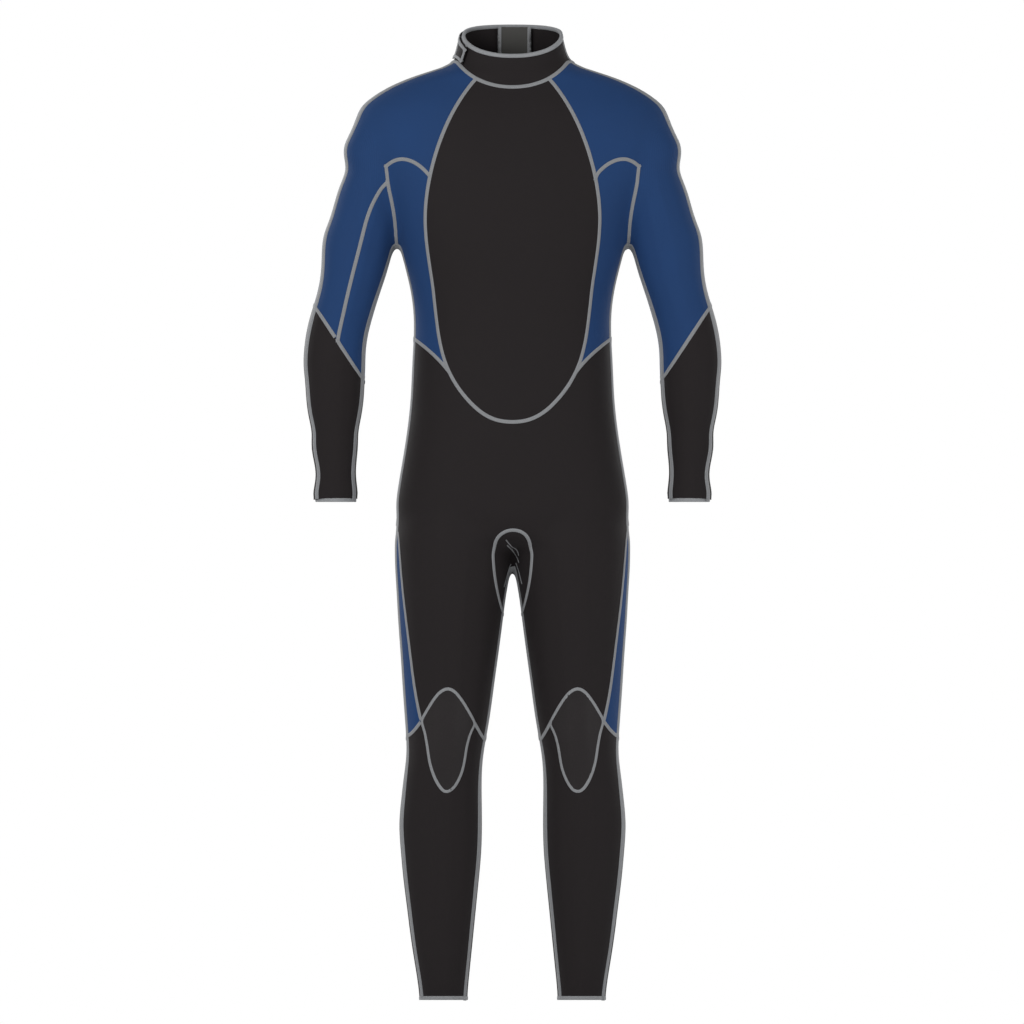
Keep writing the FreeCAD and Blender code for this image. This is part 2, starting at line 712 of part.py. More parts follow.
PIN_Y = "sizes.tape_face + 1 + sizes.plate_thickness + sizes.pin_rise"


def make_slider():
    """Slider: two plates joined by a post, with side flanges and cheeks for the pull's pin."""
    face = "sizes.tape_face + 1"
    span = ("-sizes.slider_half_width", "sizes.slider_half_width")
    z = ("sizes.slider_level - sizes.slider_length / 2", "sizes.slider_level + sizes.slider_length / 2")
    under = "sizes.tape_face + 0.6 - sizes.coil_thickness"
    top_y = (face, face + " + sizes.plate_thickness")
    pieces = [
        zip_box("slider_top", span, top_y, z),
        zip_box("slider_foot", span, (under + " - sizes.plate_thickness", under), z),
        zip_box("slider_post", (-0.6, 0.6), (under, face), ("sizes.slider_level + 2", z[1])),
    ]
    for label, x in (("right", ("-sizes.slider_half_width", "-sizes.slider_half_width + 0.8")),
                     ("left", ("sizes.slider_half_width - 0.8", "sizes.slider_half_width"))):
        low = ("sizes.tape_face - sizes.tape_thickness - 0.2")
        pieces.append(zip_box(f"{label}_flange_top", x, ("sizes.tape_face + 0.2", face), z))
        pieces.append(zip_box(f"{label}_flange_foot", x, (under, low), z))
    z_cheek = ("sizes.slider_level - 2", "sizes.slider_level + 2")
    for label, x in (("right", ("-sizes.cheek_outer", "-sizes.cheek_inner")),
                     ("left", ("sizes.cheek_inner", "sizes.cheek_outer"))):
        pieces.append(zip_box(f"{label}_cheek", x, (top_y[1], f"{PIN_Y} + 2"), z_cheek))
    body = fuse("slider_block", pieces)
    hole = cylinder("slider_hole", "sizes.pin_radius", 12, (-6, PIN_Y, "sizes.slider_level"), "x")
    node(cut("slider_cut", body, hole), "zip_slider")
    node(cylinder("pull_pin_rod", "sizes.pin_radius", "2 * sizes.cheek_outer",
                  ("-sizes.cheek_outer", PIN_Y, "sizes.slider_level"), "x"), "pull_pin")


LEASH_Z = "sizes.slider_level - sizes.pull_length + 2"


def make_pull():
    """Pull tab with an eye at each end: one on the slider's pin, one for the leash."""
    eye = cylinder("pull_eye", "sizes.eye_radius", "2 * sizes.eye_half_width",
                   ("-sizes.eye_half_width", PIN_Y, "sizes.slider_level"), "x")
    plate_y = (f"{PIN_Y} - sizes.pull_thickness / 2", f"{PIN_Y} + sizes.pull_thickness / 2")
    neck = zip_box("pull_neck", ("-sizes.eye_half_width", "sizes.eye_half_width"), plate_y,
                   ("sizes.slider_level - 6", "sizes.slider_level"))
    plate = zip_box("pull_plate", ("-sizes.pull_half_width", "sizes.pull_half_width"), plate_y,
                    (LEASH_Z, "sizes.slider_level - 5"))
    foot = cylinder("pull_foot", "sizes.eye_radius", "2 * sizes.pull_half_width",
                    ("-sizes.pull_half_width", PIN_Y, LEASH_Z), "x")
    body = fuse("pull_block", [eye, neck, plate, foot])
    bores = group("pull_bores", [
        cylinder("pull_bore", "sizes.bore_radius", 12, (-6, PIN_Y, "sizes.slider_level"), "x"),
        cylinder("leash_bore", "sizes.bore_radius", 12, (-6, PIN_Y, LEASH_Z), "x")])
    node(cut("pull_cut", body, bores), "pull_tab")


def make_leash():
    """Leash strap with two ears on a cross pin, and its stitched grip at the free end."""
    half = "sizes.leash_thickness / 2"
    strap_y = (f"{PIN_Y} - {half}", f"{PIN_Y} + {half}")
    wide = ("-sizes.leash_half_width", "sizes.leash_half_width")
    low = f"{LEASH_Z} - sizes.leash_length + sizes.grip_length"
    strap = zip_box("leash_web", wide, strap_y, (low, f"{LEASH_Z} - 4"))
    pieces = [strap]
    for label, x in (("right", (-6, -3.8)), ("left", (3.8, 6))):
        arm = zip_box(f"{label}_leash_arm", x, strap_y, (f"{LEASH_Z} - 5", LEASH_Z))
        boss = cylinder(f"{label}_leash_boss", "sizes.eye_radius", 2.2, (x[0], PIN_Y, LEASH_Z), "x")
        pieces += [arm, boss]
    hole = cylinder("leash_hole", "sizes.pin_radius", 14, (-7, PIN_Y, LEASH_Z), "x")
    node(cut("leash_cut", fuse("leash_block", pieces), hole), "leash_strap")
    node(cylinder("leash_pin_rod", "sizes.pin_radius", 12, (-6, PIN_Y, LEASH_Z), "x"), "leash_pin")
    node(zip_box("grip_block", wide, (f"{PIN_Y} - 2 * {half}", f"{PIN_Y} + 2 * {half}"),
                 (f"{LEASH_Z} - sizes.leash_length", low)), "leash_grip")


# ---------------------------------------------------------------- assembly

def build():
    fill_sheet()
    forms = make_forms()
    space = make_spaces()
    gusset_trunk = whole("gusset_trunk", make_torso_panels(forms, space))
    make_sleeve(forms, space)
    gusset_leg = make_leg(forms, space)
    legs = [gusset_leg, mirrored("gusset_leg_left", gusset_leg)]
    node(group("gusset_cut", [gusset_trunk] + legs), "crotch_gusset")
    make_collar(forms)
    make_zip_guard()
    make_zip_tracks()
    make_slider()
    make_pull()
    make_leash()
    doc.recompute()


def check():
    """Stop before anything is written if a feature failed or a sub-part is unsound."""
    for item in doc.Objects:
        if {"Invalid", "Error"} & set(item.State):
            raise RuntimeError(f"{item.Name} failed to compute: {item.State}")
    for item in NODES:
        if item.Shape.isNull() or not item.Shape.Solids or not item.Shape.isValid():
            raise RuntimeError(f"{item.Label} has no valid solid")


def write():
    os.makedirs("parts", exist_ok=True)
    for item in NODES:
        item.Shape.exportStep(f"parts/{item.Label}.step")


build()
check()
write()
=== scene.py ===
"""Looks of the full wetsuit: jersey-faced neoprene panels, flatlock seams, cuffs, collar and zip.

The skin of the suit is rebuilt from horizontal slices of the CAD panels, joined into one surface,
and cut into panels again where one CAD panel is as near as the next. All lengths are in metres.
"""
import bpy
import math
import numpy as np
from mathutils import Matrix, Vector, geometry
from mathutils.bvhtree import BVHTree


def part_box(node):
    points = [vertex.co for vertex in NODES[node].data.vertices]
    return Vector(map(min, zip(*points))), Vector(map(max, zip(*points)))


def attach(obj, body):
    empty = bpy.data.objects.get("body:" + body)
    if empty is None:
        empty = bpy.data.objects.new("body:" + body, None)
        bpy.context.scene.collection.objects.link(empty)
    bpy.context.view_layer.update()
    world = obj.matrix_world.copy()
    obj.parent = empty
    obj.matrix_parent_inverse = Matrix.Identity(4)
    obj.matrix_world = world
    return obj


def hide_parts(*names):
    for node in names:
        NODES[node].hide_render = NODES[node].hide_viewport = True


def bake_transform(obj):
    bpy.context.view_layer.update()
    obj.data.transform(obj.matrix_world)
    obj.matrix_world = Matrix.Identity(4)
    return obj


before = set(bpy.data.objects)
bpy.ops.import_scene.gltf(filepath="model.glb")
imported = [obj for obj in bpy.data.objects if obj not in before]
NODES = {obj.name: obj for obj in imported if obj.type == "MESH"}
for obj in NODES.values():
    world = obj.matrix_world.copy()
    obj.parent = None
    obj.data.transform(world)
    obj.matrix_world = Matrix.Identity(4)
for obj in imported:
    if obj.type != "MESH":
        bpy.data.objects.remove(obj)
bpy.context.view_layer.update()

SHEET = 0.0029            # thickness of the neoprene
VOXEL = 0.0043            # grid of the surface joined round trunk, arms and legs
FAR = 0.05                # a panel farther than this from a skin point has no say in it

SLICE_STEP = 0.006
SMALLEST_SLICE = 0.0004   # square metres
TRUNK_LEVELS = (0.664, 1.446)
LEG_LEVELS = (0.0065, 0.756)
ARM_LEVELS = (0.7535, 1.336)
LIMB_OVERRUN = 0.03       # limbs start this far under their lowest slice
COLLAR_CAP = 1.443        # the skin is closed by a cap just over this level
FOLD_REACH = 0.03         # a point this near a second limb lies in a fold
FOLD_DEEP = 0.012         # and this near, at the bottom of it
HOLD_FROM = 0.0015        # this far from a second limb, a point starts to keep to its own limb
HOLD_FULL = 0.0075        # and this far, it lies on it

SEAM_WIDTH = 0.0058
TAB_SEAM_WIDTH = 0.0045
SIDE_SEAM_WIDTH = 0.016
SIDE_SEAM_SHIFT = 0.008   # side seams are rolled this far to the front
SEAM_RISE = 0.0007
SHORTEST_SEAM = 0.010
SEAM_OVERLAP = 0.003      # tapes run this far past the ends of their lines
CORNER_SPAN = 0.010       # length over which a seam's turn is measured
CORNER_COSINE = 0.80      # a seam is split where the cosine of its turn is less
TAPE_STEP = 0.004
STITCH_PITCH = 0.0032


# ---------------------------------------------------------------- reading the frame

def triangles_of(mesh):
    """Points and triangles of a mesh."""
    mesh.calc_loop_triangles()
    points = np.empty(len(mesh.vertices) * 3)
    mesh.vertices.foreach_get("co", points)
    corners = np.empty(len(mesh.loop_triangles) * 3, dtype=np.int64)
    mesh.loop_triangles.foreach_get("vertices", corners)
    return points.reshape(-1, 3), corners.reshape(-1, 3)


def gather(names):
    """Points and triangles of several CAD nodes as one set."""
    points, corners, count = [], [], 0
    for name in names:
        some_points, some_corners = triangles_of(NODES[name].data)
        points.append(some_points)
        corners.append(some_corners + count)
        count += len(some_points)
    return np.concatenate(points), np.concatenate(corners)


def tree_of(points, corners):
    return BVHTree.FromPolygons([tuple(p) for p in points], [tuple(c) for c in corners.tolist()])


# ---------------------------------------------------------------- slices and tubes

def slice_outline(points, corners, level):
    """Convex outline, in x and y, of the triangles cut at one level."""
    found = []
    for first, second in ((0, 1), (1, 2), (2, 0)):
        a, b = points[corners[:, first]], points[corners[:, second]]
        crossing = (a[:, 2] - level) * (b[:, 2] - level) < 0
        a, b = a[crossing], b[crossing]
        share = ((level - a[:, 2]) / (b[:, 2] - a[:, 2]))[:, None]
        found.append((a + share * (b - a))[:, :2])
    found = np.concatenate(found)
    if len(found) < 6:
        return None
    found = found[geometry.convex_hull_2d([tuple(p) for p in found])]
    x, y = found.T
    area = abs(np.dot(x, np.roll(y, 1)) - np.dot(y, np.roll(x, 1))) / 2
    return found if area > SMALLEST_SLICE else None


def resample(outline, count):
    """Evenly turned points where rays from the outline's middle leave it."""
    middle = (outline.min(axis=0) + outline.max(axis=0)) / 2
    start = outline - middle
    edge = np.roll(start, -1, axis=0) - start
    ring = []
    for step in range(count):
        angle = 2 * math.pi * step / count
        ray = np.array([math.cos(angle), math.sin(angle)])
        cross = ray[0] * edge[:, 1] - ray[1] * edge[:, 0]
        safe = np.where(np.abs(cross) < 1e-12, 1e-12, cross)
        reach = (start[:, 0] * edge[:, 1] - start[:, 1] * edge[:, 0]) / safe
        along = (start[:, 0] * ray[1] - start[:, 1] * ray[0]) / safe
        good = (reach > 0) & (along > -1e-4) & (along < 1 + 1e-4) & (np.abs(cross) > 1e-12)
        ring.append(middle + ray * reach[good].max())
    return np.array(ring)


def ring_faces(rings, count):
    """Faces between rings of points laid one over another."""
    faces = []
    for row in range(rings - 1):
        for k in range(count):
            a, b = row * count + k, row * count + (k + 1) % count
            faces.append((a, b, b + count, a + count))
    return faces


def tube(points, corners, span, count, overrun=0.0):
    """Closed tube through the outlines of some triangles over a span of levels."""
    rings = []
    low, high = span
    levels = np.linspace(low, high, int(round((high - low) / SLICE_STEP)) + 1)
    for level in levels:
        outline = slice_outline(points, corners, level)
        if outline is None:
            continue
        ring = resample(outline, count)
        rings.append(np.column_stack([ring, np.full(count, level)]))
    if overrun:
        rings.insert(0, rings[0] - [0, 0, overrun])
    vertices = [tuple(p) for ring in rings for p in ring]
    faces = ring_faces(len(rings), count)
    for row, flip in ((0, True), (len(rings) - 1, False)):
        vertices.append(tuple(rings[row].mean(axis=0)))
        hub = len(vertices) - 1
        for k in range(count):
            a, b = row * count + k, row * count + (k + 1) % count
            faces.append((b, a, hub) if flip else (a, b, hub))
    return vertices, faces


def new_object(name, vertices, faces):
    mesh = bpy.data.meshes.new(name)
    mesh.from_pydata([tuple(v) for v in vertices], [], faces)
    mesh.update()
    piece = bpy.data.objects.new(name, mesh)
    bpy.context.scene.collection.objects.link(piece)
    return piece


def add_remesh(piece, voxel):
    remesh = piece.modifiers.new("remesh", "REMESH")
    remesh.mode = "VOXEL"
    remesh.voxel_size = voxel


def applied(piece):
    """A new mesh of a piece with its modifiers applied."""
    depsgraph = bpy.context.evaluated_depsgraph_get()
    return bpy.data.meshes.new_from_object(piece.evaluated_get(depsgraph))


def joined(tubes):
    """One voxel surface round several tubes: points, edges and triangles."""
    vertices, faces = [], []
    for some_vertices, some_faces in tubes:
        shift = len(vertices)
        vertices += some_vertices
        faces += [tuple(k + shift for k in face) for face in some_faces]
    rough = new_object("rough_skin", vertices, faces)
    add_remesh(rough, VOXEL)
    mesh = applied(rough)
    points, corners = triangles_of(mesh)
    edges = np.array([e.vertices for e in mesh.edges], dtype=np.int64)
    bpy.data.objects.remove(rough)
    bpy.data.meshes.remove(mesh)
    return points, edges, corners


def smooth_faces(mesh):
    mesh.polygons.foreach_set("use_smooth", np.ones(len(mesh.polygons), dtype=bool))


def relax(points, edges, rounds, amount=0.5):
    """Points drawn towards the middle of their neighbours, some rounds over."""
    degree = np.bincount(edges.ravel(), minlength=len(points))[:, None]
    for _ in range(rounds):
        total = np.zeros_like(points)
        for axis in range(3):
            total[:, axis] += np.bincount(edges[:, 0], points[edges[:, 1], axis], len(points))
            total[:, axis] += np.bincount(edges[:, 1], points[edges[:, 0], axis], len(points))
        points = points + amount * (total / degree - points)
    return points


def vertex_normals(points, corners):
    a, b, c = (points[corners[:, k]] for k in range(3))
    face = np.cross(b - a, c - a)
    normals = np.zeros_like(points)
    for k in range(3):
        for axis in range(3):
            normals[:, axis] += np.bincount(corners[:, k], face[:, axis], len(points))
    return normals / np.maximum(np.linalg.norm(normals, axis=1), 1e-12)[:, None]


# ---------------------------------------------------------------- what each panel stands for

BLACK, BLUE, RUBBER = "black_neoprene", "blue_neoprene", "knee_rubber"
SIDE_SEAM = -0.008        # front and back panels meet on this plane
SIDES = {"right": -1.0, "left": 1.0}
# joint: (moving body, levels where the bend starts and ends, middle of the limb)
BENDS = {"elbow": ("forearm", 1.070, 0.950, 0.26), "knee": ("shank", 0.455, 0.335, 0.1)}

# label: (CAD nodes, -1 front or 1 back or 0 both, material slot, joint it bends at)
PANELS = {
    "chest": (["chest_panel"], -1, BLACK, None),
    "back": (["back_panel"], 1, BLACK, None),
    "hip_front": (["hip_front_panel"], -1, BLACK, None),
    "seat": (["seat_panel"], 1, BLACK, None),
    "gusset": (["crotch_gusset"], 0, BLACK, None),
    "right_underarm": (["right_underarm_panel"], -1, BLUE, "elbow"),
}
for label, nodes, half, slot, joint in (
        ("side", ["side_panel"], -1, BLUE, None),
        ("yoke_front", ["yoke_front"], -1, BLUE, None),
        ("yoke_back", ["yoke_back"], 1, BLUE, None),
        ("sleeve_front", ["sleeve_front"], -1, BLUE, "elbow"),
        ("sleeve_back", ["sleeve_back"], 1, BLUE, "elbow"),
        ("forearm_front", ["elbow_panel", "forearm_front"], -1, BLACK, "elbow"),
        ("forearm_back", ["elbow_panel", "forearm_back"], 1, BLACK, "elbow"),
        ("thigh_front", ["thigh_front"], -1, BLACK, "knee"),
        ("thigh_back", ["thigh_back"], 1, BLACK, "knee"),
        ("thigh_side", ["thigh_side"], 0, BLUE, "knee"),
        ("knee_pad", ["knee_pad"], -1, RUBBER, "knee"),
        ("shin", ["knee_surround", "shin_panel"], -1, BLACK, "knee"),
        ("calf", ["knee_surround", "calf_panel"], 1, BLACK, "knee")):
    for side in SIDES:
        PANELS[f"{side}_{label}"] = ([f"{side}_{node}" for node in nodes], half, slot, joint)
OPENINGS = {
    "collar": (["collar_band"], 0),
    "slot": (["right_zip_tape", "left_zip_tape", "right_zip_coil", "left_zip_coil"], 1),
    "hems": ([f"{side}_{end}_hem" for side in SIDES for end in ("wrist", "ankle")], 0),
}
UNSEWN = [("hip_front", "thigh_front"), ("seat", "thigh_back"), ("yoke_front", "sleeve_front"),
          ("yoke_back", "sleeve_back")]


def plain(label):
    """A label without its side."""
    first, _, rest = label.partition("_")
    return rest if first in SIDES else label


def joint_of(label):
    """(side, joint) that a panel bends at, or None."""
    if label in PANELS and PANELS[label][3]:
        return label.partition("_")[0], PANELS[label][3]
    return None


# ---------------------------------------------------------------- the skin

def islands(points, corners):
    """Triangles sorted into separate shells."""
    label = np.arange(len(points))
    changed = True
    while changed:
        before = label.copy()
        low = label[corners].min(axis=1)
        for k in range(3):
            np.minimum.at(label, corners[:, k], low)
        changed = not np.array_equal(before, label)
    mark = label[corners[:, 0]]
    return [corners[mark == value] for value in np.unique(mark)]


def gusset_shells():
    """The gusset's points, and its triangles by where they lie: middle, right or left."""
    points, corners = triangles_of(NODES["crotch_gusset"].data)
    shells = {"middle": [], "right": [], "left": []}
    for shell in islands(points, corners):
        middle = points[shell][:, :, 0].mean()
        key = "middle" if abs(middle) < 0.005 else ("right" if middle < 0 else "left")
        shells[key].append(shell)
    return points, {key: np.concatenate(found) for key, found in shells.items()}


def with_shell(names, points, shell):
    """Triangles of some nodes and of one shell."""
    some_points, some_corners = gather(names)
    return (np.concatenate([some_points, points]),
            np.concatenate([some_corners, shell + len(some_points)]))


def make_skin():
    """One smooth surface over the whole suit, and the normals of its points."""
    gusset_points, gusset = gusset_shells()
    trunk = ["chest_panel", "back_panel", "hip_front_panel", "seat_panel", "collar_band"]
    for side in SIDES:
        trunk += [f"{side}_side_panel", f"{side}_yoke_front", f"{side}_yoke_back"]
    tubes = [tube(*with_shell(trunk, gusset_points, gusset["middle"]), TRUNK_LEVELS, 128)]
    for side in SIDES:
        leg = [f"{side}_{name}" for name in ("thigh_front", "thigh_back", "thigh_side", "knee_pad",
                                             "knee_surround", "shin_panel", "calf_panel")]
        arm = [f"{side}_{name}" for name in ("sleeve_front", "sleeve_back", "elbow_panel",
                                             "forearm_front", "forearm_back")]
        if side == "right":
            arm.append("right_underarm_panel")
        leg_set = with_shell(leg, gusset_points, gusset[side])
        tubes.append(tube(*leg_set, LEG_LEVELS, 96, LIMB_OVERRUN))
        tubes.append(tube(*gather(arm), ARM_LEVELS, 96, LIMB_OVERRUN))
    points, edges, corners = joined(tubes)
    points = relax(points, edges, 3)
    trees = [BVHTree.FromPolygons(vertices, faces) for vertices, faces in tubes]
    moved, crease = points.copy(), np.zeros(len(points))
    for k, point in enumerate(points):
        near = [tree.find_nearest(point, FOLD_REACH) for tree in trees]
        near = sorted((found for found in near if found[0]), key=lambda found: found[3])
        second = near[1][3] if len(near) > 1 else FOLD_REACH
        crease[k] = min(1.0, (FOLD_REACH - second) / (FOLD_REACH - FOLD_DEEP))
        share = min(1.0, max(0.0, (second - HOLD_FROM) / (HOLD_FULL - HOLD_FROM)))
        share = share * share * (3 - 2 * share)
        if near and share:
            moved[k] = point + share * (np.array(near[0][0]) - point)
    points = relax(moved, edges, 1, 0.4)
    points += crease[:, None] * (relax(points, edges, 24) - points)
    return points, corners, vertex_normals(points, corners)


def distances(points, names):
    """Distance from each skin point to the nearest surface of some nodes, FAR at most."""
    node_points, node_corners = gather(names)
    tree = tree_of(node_points, node_corners)
    low, high = node_points.min(axis=0) - FAR, node_points.max(axis=0) + FAR
    close = np.nonzero(((points > low) & (points < high)).all(axis=1))[0]
    found = np.full(len(points), FAR)
    for k in close:
        hit = tree.find_nearest(points[k], FAR)
        if hit[0] is not None:
            found[k] = hit[3]
    return found


def panel_fields(points):
    """For each panel and the collar, a field that is negative inside it, and what lies next."""
    labels = list(PANELS) + list(OPENINGS)
    halves = np.array([PANELS[label][1] if label in PANELS else OPENINGS[label][1]
                       for label in labels])
    reach = {label: distances(points, (PANELS | OPENINGS)[label][0]) for label in labels}
    table = np.array([reach[label] for label in labels])
    behind = points[:, 1] > SIDE_SEAM
    fields, rivals = {}, {}
    for row, label in enumerate(labels[:len(PANELS) + 1]):
        blocked = np.zeros(table.shape, dtype=bool)
        blocked[row] = True
        if halves[row]:
            blocked |= (halves == -halves[row])[:, None]
        else:
            blocked |= (halves == -1)[:, None] & behind
            blocked |= (halves == 1)[:, None] & ~behind
        others = np.where(blocked, 1.0, table)
        rival = others.argmin(axis=0)
        field = table[row] - others[rival, np.arange(len(points))]
        if halves[row]:
            plane = halves[row] * (SIDE_SEAM - points[:, 1])
            across = np.where((halves == -halves[row])[:, None], table, 1.0).argmin(axis=0)
            rival = np.where(plane > field, across, rival)
            field = np.maximum(field, plane)
        far = table[row] > FAR * 0.98
        fields[label] = np.where(far, 1.0, field)
        rivals[label] = rival
    return labels, fields, rivals


def clip(points, normals, corners, field, rival):
    """The skin where a field is negative: points, normals, faces, rim edges, the rim's rivals."""
    inside = field <= 0
    count = inside[corners].sum(axis=1)
    faces = corners[count == 3].tolist()
    cuts, ends, rims = {}, [], []

    def crossing(a, b):
        key = (a, b) if a < b else (b, a)
        if key not in cuts:
            cuts[key] = len(points) + len(cuts)
            ends.append((a, b))
        return cuts[key]

    for triangle in corners[(count == 1) | (count == 2)].tolist():
        alone = [k for k in range(3) if inside[triangle[k]] != inside[triangle[k - 1]]
                 and inside[triangle[k]] != inside[triangle[(k + 1) % 3]]][0]
        a, b, c = triangle[alone], triangle[(alone + 1) % 3], triangle[(alone + 2) % 3]
        if inside[a]:
            first, last = crossing(a, b), crossing(a, c)
            faces.append([a, first, last])
            rims.append((first, last))
        else:
            first, last = crossing(b, a), crossing(c, a)
            faces.append([b, c, last])
            faces.append([b, last, first])
            rims.append((last, first))
    if ends:
        a, b = np.array(ends).T
        share = np.clip(field[a] / (field[a] - field[b]), 0.0, 1.0)[:, None]
        all_points = np.concatenate([points, points[a] + share * (points[b] - points[a])])
        all_normals = np.concatenate([normals, normals[a] + share * (normals[b] - normals[a])])
        rim_rival = dict(zip(range(len(points), len(all_points)), rival[a].tolist()))
    else:
        all_points, all_normals, rim_rival = points, normals, {}
    return all_points, all_normals, faces, rims, rim_rival


# ---------------------------------------------------------------- panels

PAD_SWELL = 0.0006
# middle and radius of the limb with this joint, or of the trunk
AXES = {None: (0.0, 0.16), "elbow": (0.262, 0.05), "knee": (0.102, 0.075)}


def knit_coordinates(label, points):
    """Distance round the limb and height of each point, for the knit of the jersey."""
    across, radius = AXES[PANELS[label][3]]
    centre = across * SIDES.get(label.partition("_")[0], 0.0)
    turn = np.arctan2(points[:, 0] - centre, np.abs(points[:, 1]) + 0.004)
    return np.column_stack([turn * radius, points[:, 2]])


def set_uv(mesh, coordinates):
    layer = mesh.uv_layers.new(name="length_map")
    loops = np.empty(len(mesh.loops), dtype=np.int64)
    mesh.loops.foreach_get("vertex_index", loops)
    layer.data.foreach_set("uv", coordinates[loops].ravel())


def panel_piece(label, clipped):
    """A panel with its thickness; the inner face takes the lining."""
    points, normals, faces, rims, _ = clipped
    used = np.unique(faces)
    place = np.full(len(points), -1)
    place[used] = np.arange(len(used))
    outer = points[used]
    normal = normals[used] / np.linalg.norm(normals[used], axis=1)[:, None]
    count = len(used)
    swell = PAD_SWELL if plain(label) == "knee_pad" else 0.0
    vertices = np.concatenate([outer + swell * normal, outer - SHEET * normal])
    outside = place[np.array(faces)]
    inside = outside[:, ::-1] + count
    rim = [(place[b], place[a], place[a] + count, place[b] + count) for a, b in rims]
    piece = new_object(f"panel_{label}", vertices, outside.tolist() + inside.tolist() + rim)
    mesh = piece.data
    kind = np.zeros(len(mesh.polygons), dtype=np.int32)
    kind[len(outside):] = 1
    mesh.polygons.foreach_set("material_index", kind)
    smooth_faces(mesh)
    loops = np.empty(len(mesh.loops), dtype=np.int64)
    mesh.loops.foreach_get("vertex_index", loops)
    custom = np.concatenate([normal, -normal])[loops]
    first_rim = 3 * (len(outside) + len(inside))
    for number in range(len(rim)):
        polygon = mesh.polygons[len(outside) + len(inside) + number]
        custom[first_rim + 4 * number:first_rim + 4 * number + 4] = polygon.normal
    mesh.normals_split_custom_set([tuple(n) for n in custom])
    set_uv(mesh, np.concatenate([knit_coordinates(label, outer)] * 2))
    return piece


def follow(piece, bend):
    """Ride the trunk; a piece at a joint only has its transform baked in."""
    if bend is None:
        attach(piece, "torso")
        return
    side, joint = bend
    child, start, end, across = BENDS[joint]
    across *= SIDES[side]
    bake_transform(piece)


# ---------------------------------------------------------------- seams

def chains(segments):
    """Segments joined end to end into lines of point numbers."""
    after = {}
    for a, b in segments:
        after.setdefault(a, []).append(b)
        after.setdefault(b, []).append(a)
    left = {tuple(sorted(segment)) for segment in segments}
    lines = []
    starts = [v for v, near in after.items() if len(near) != 2] + list(after)
    for start in starts:
        for towards in after[start]:
            if tuple(sorted((start, towards))) not in left:
                continue
            line = [start]
            here, following = start, towards
            while tuple(sorted((here, following))) in left:
                left.discard(tuple(sorted((here, following))))
                line.append(following)
                options = [v for v in after[following] if tuple(sorted((following, v))) in left]
                here, following = following, options[0] if len(options) == 1 else -1
            lines.append(line)
    return lines


def is_loop(line):
    return np.linalg.norm(line[0] - line[-1]) < 1e-9


def lengths(line):
    """Length along a line at each of its points."""
    steps = np.linalg.norm(np.diff(line, axis=0), axis=1)
    return np.concatenate([[0.0], np.cumsum(steps)])


def places_on(line, length, at):
    return np.column_stack([np.interp(at, length, line[:, axis]) for axis in range(3)])


def eased(line, rounds=10):
    """A line with its small steps taken out, its ends kept unless it is a loop."""
    loop = is_loop(line)
    line = line.copy()
    for _ in range(rounds):
        if loop:
            ring = line[:-1]
            ring = 0.5 * ring + 0.25 * (np.roll(ring, 1, axis=0) + np.roll(ring, -1, axis=0))
            line = np.concatenate([ring, ring[:1]])
        else:
            line[1:-1] = 0.5 * line[1:-1] + 0.25 * (line[:-2] + line[2:])
    return line


def at_corners(line):
    """An open line split where it turns sharply."""
    length = lengths(line)
    if length[-1] < 6 * CORNER_SPAN or is_loop(line):
        return [line]
    back = line - places_on(line, length, length - CORNER_SPAN)
    ahead = places_on(line, length, length + CORNER_SPAN) - line
    size = np.linalg.norm(back, axis=1) * np.linalg.norm(ahead, axis=1)
    turn = (back * ahead).sum(axis=1) / np.maximum(size, 1e-12)
    turn[(length < 2 * CORNER_SPAN) | (length > length[-1] - 2 * CORNER_SPAN)] = 1.0
    parts = []
    while turn.min() < CORNER_COSINE:
        k = int(turn.argmin())
        turn[np.abs(length - length[k]) < 3 * CORNER_SPAN] = 1.0
        parts.append(k)
    cuts = [0] + sorted(parts) + [len(line) - 1]
    return [line[a:b + 1] for a, b in zip(cuts, cuts[1:])]


def carried_on(line):
    """An open line with its ends carried on straight."""
    if is_loop(line) or len(line) < 4:
        return line
    first, last = line[0] - line[3], line[-1] - line[-4]
    return np.concatenate([[line[0] + SEAM_OVERLAP * first / np.linalg.norm(first)], line,
                           [line[-1] + SEAM_OVERLAP * last / np.linalg.norm(last)]])


def evenly(line):
    """Points along a line, evenly spaced, and the length at each."""
    length = lengths(line)
    count = max(2, int(round(length[-1] / TAPE_STEP)) + 1)
    at = np.linspace(0.0, length[-1], count)
    return places_on(line, length, at), at


# a tape's section: parts of its width from the middle, and of its rise
RIBBON_PROFILE = ((-0.5, -0.35), (-0.44, 0.72), (-0.2, 1.0),
                  (0.2, 1.0), (0.44, 0.72), (0.5, -0.35))


def ribbon(line, width, rise, skin_tree, skin_corners, skin_normals):
    """Flat tape laid along a line on the skin: vertices, faces, and (length, offset) of each."""
    line, at = evenly(line)
    if len(line) < 3:
        return None
    tangent = np.gradient(line, axis=0)
    tangent /= np.linalg.norm(tangent, axis=1)[:, None]
    vertices, marks = [], []
    for k, point in enumerate(line):
        hit = skin_tree.find_nearest(point)
        normal = skin_normals[skin_corners[hit[2]]].mean(axis=0)
        across = np.cross(tangent[k], normal)
        across /= np.linalg.norm(across)
        wide = width(point) if callable(width) else width
        for offset, lift in RIBBON_PROFILE:
            place = point + across * offset * wide
            hit = skin_tree.find_nearest(place)
            normal = skin_normals[skin_corners[hit[2]]].mean(axis=0)
            normal /= np.linalg.norm(normal)
            vertices.append(np.array(hit[0]) + normal * lift * rise)
            marks.append((at[k], offset * wide))
    row = len(RIBBON_PROFILE)
    faces = []
    for k in range(len(line) - 1):
        for j in range(row - 1):
            a = k * row + j
            faces.append((a, a + 1, a + row + 1, a + row))
    return vertices, faces, marks


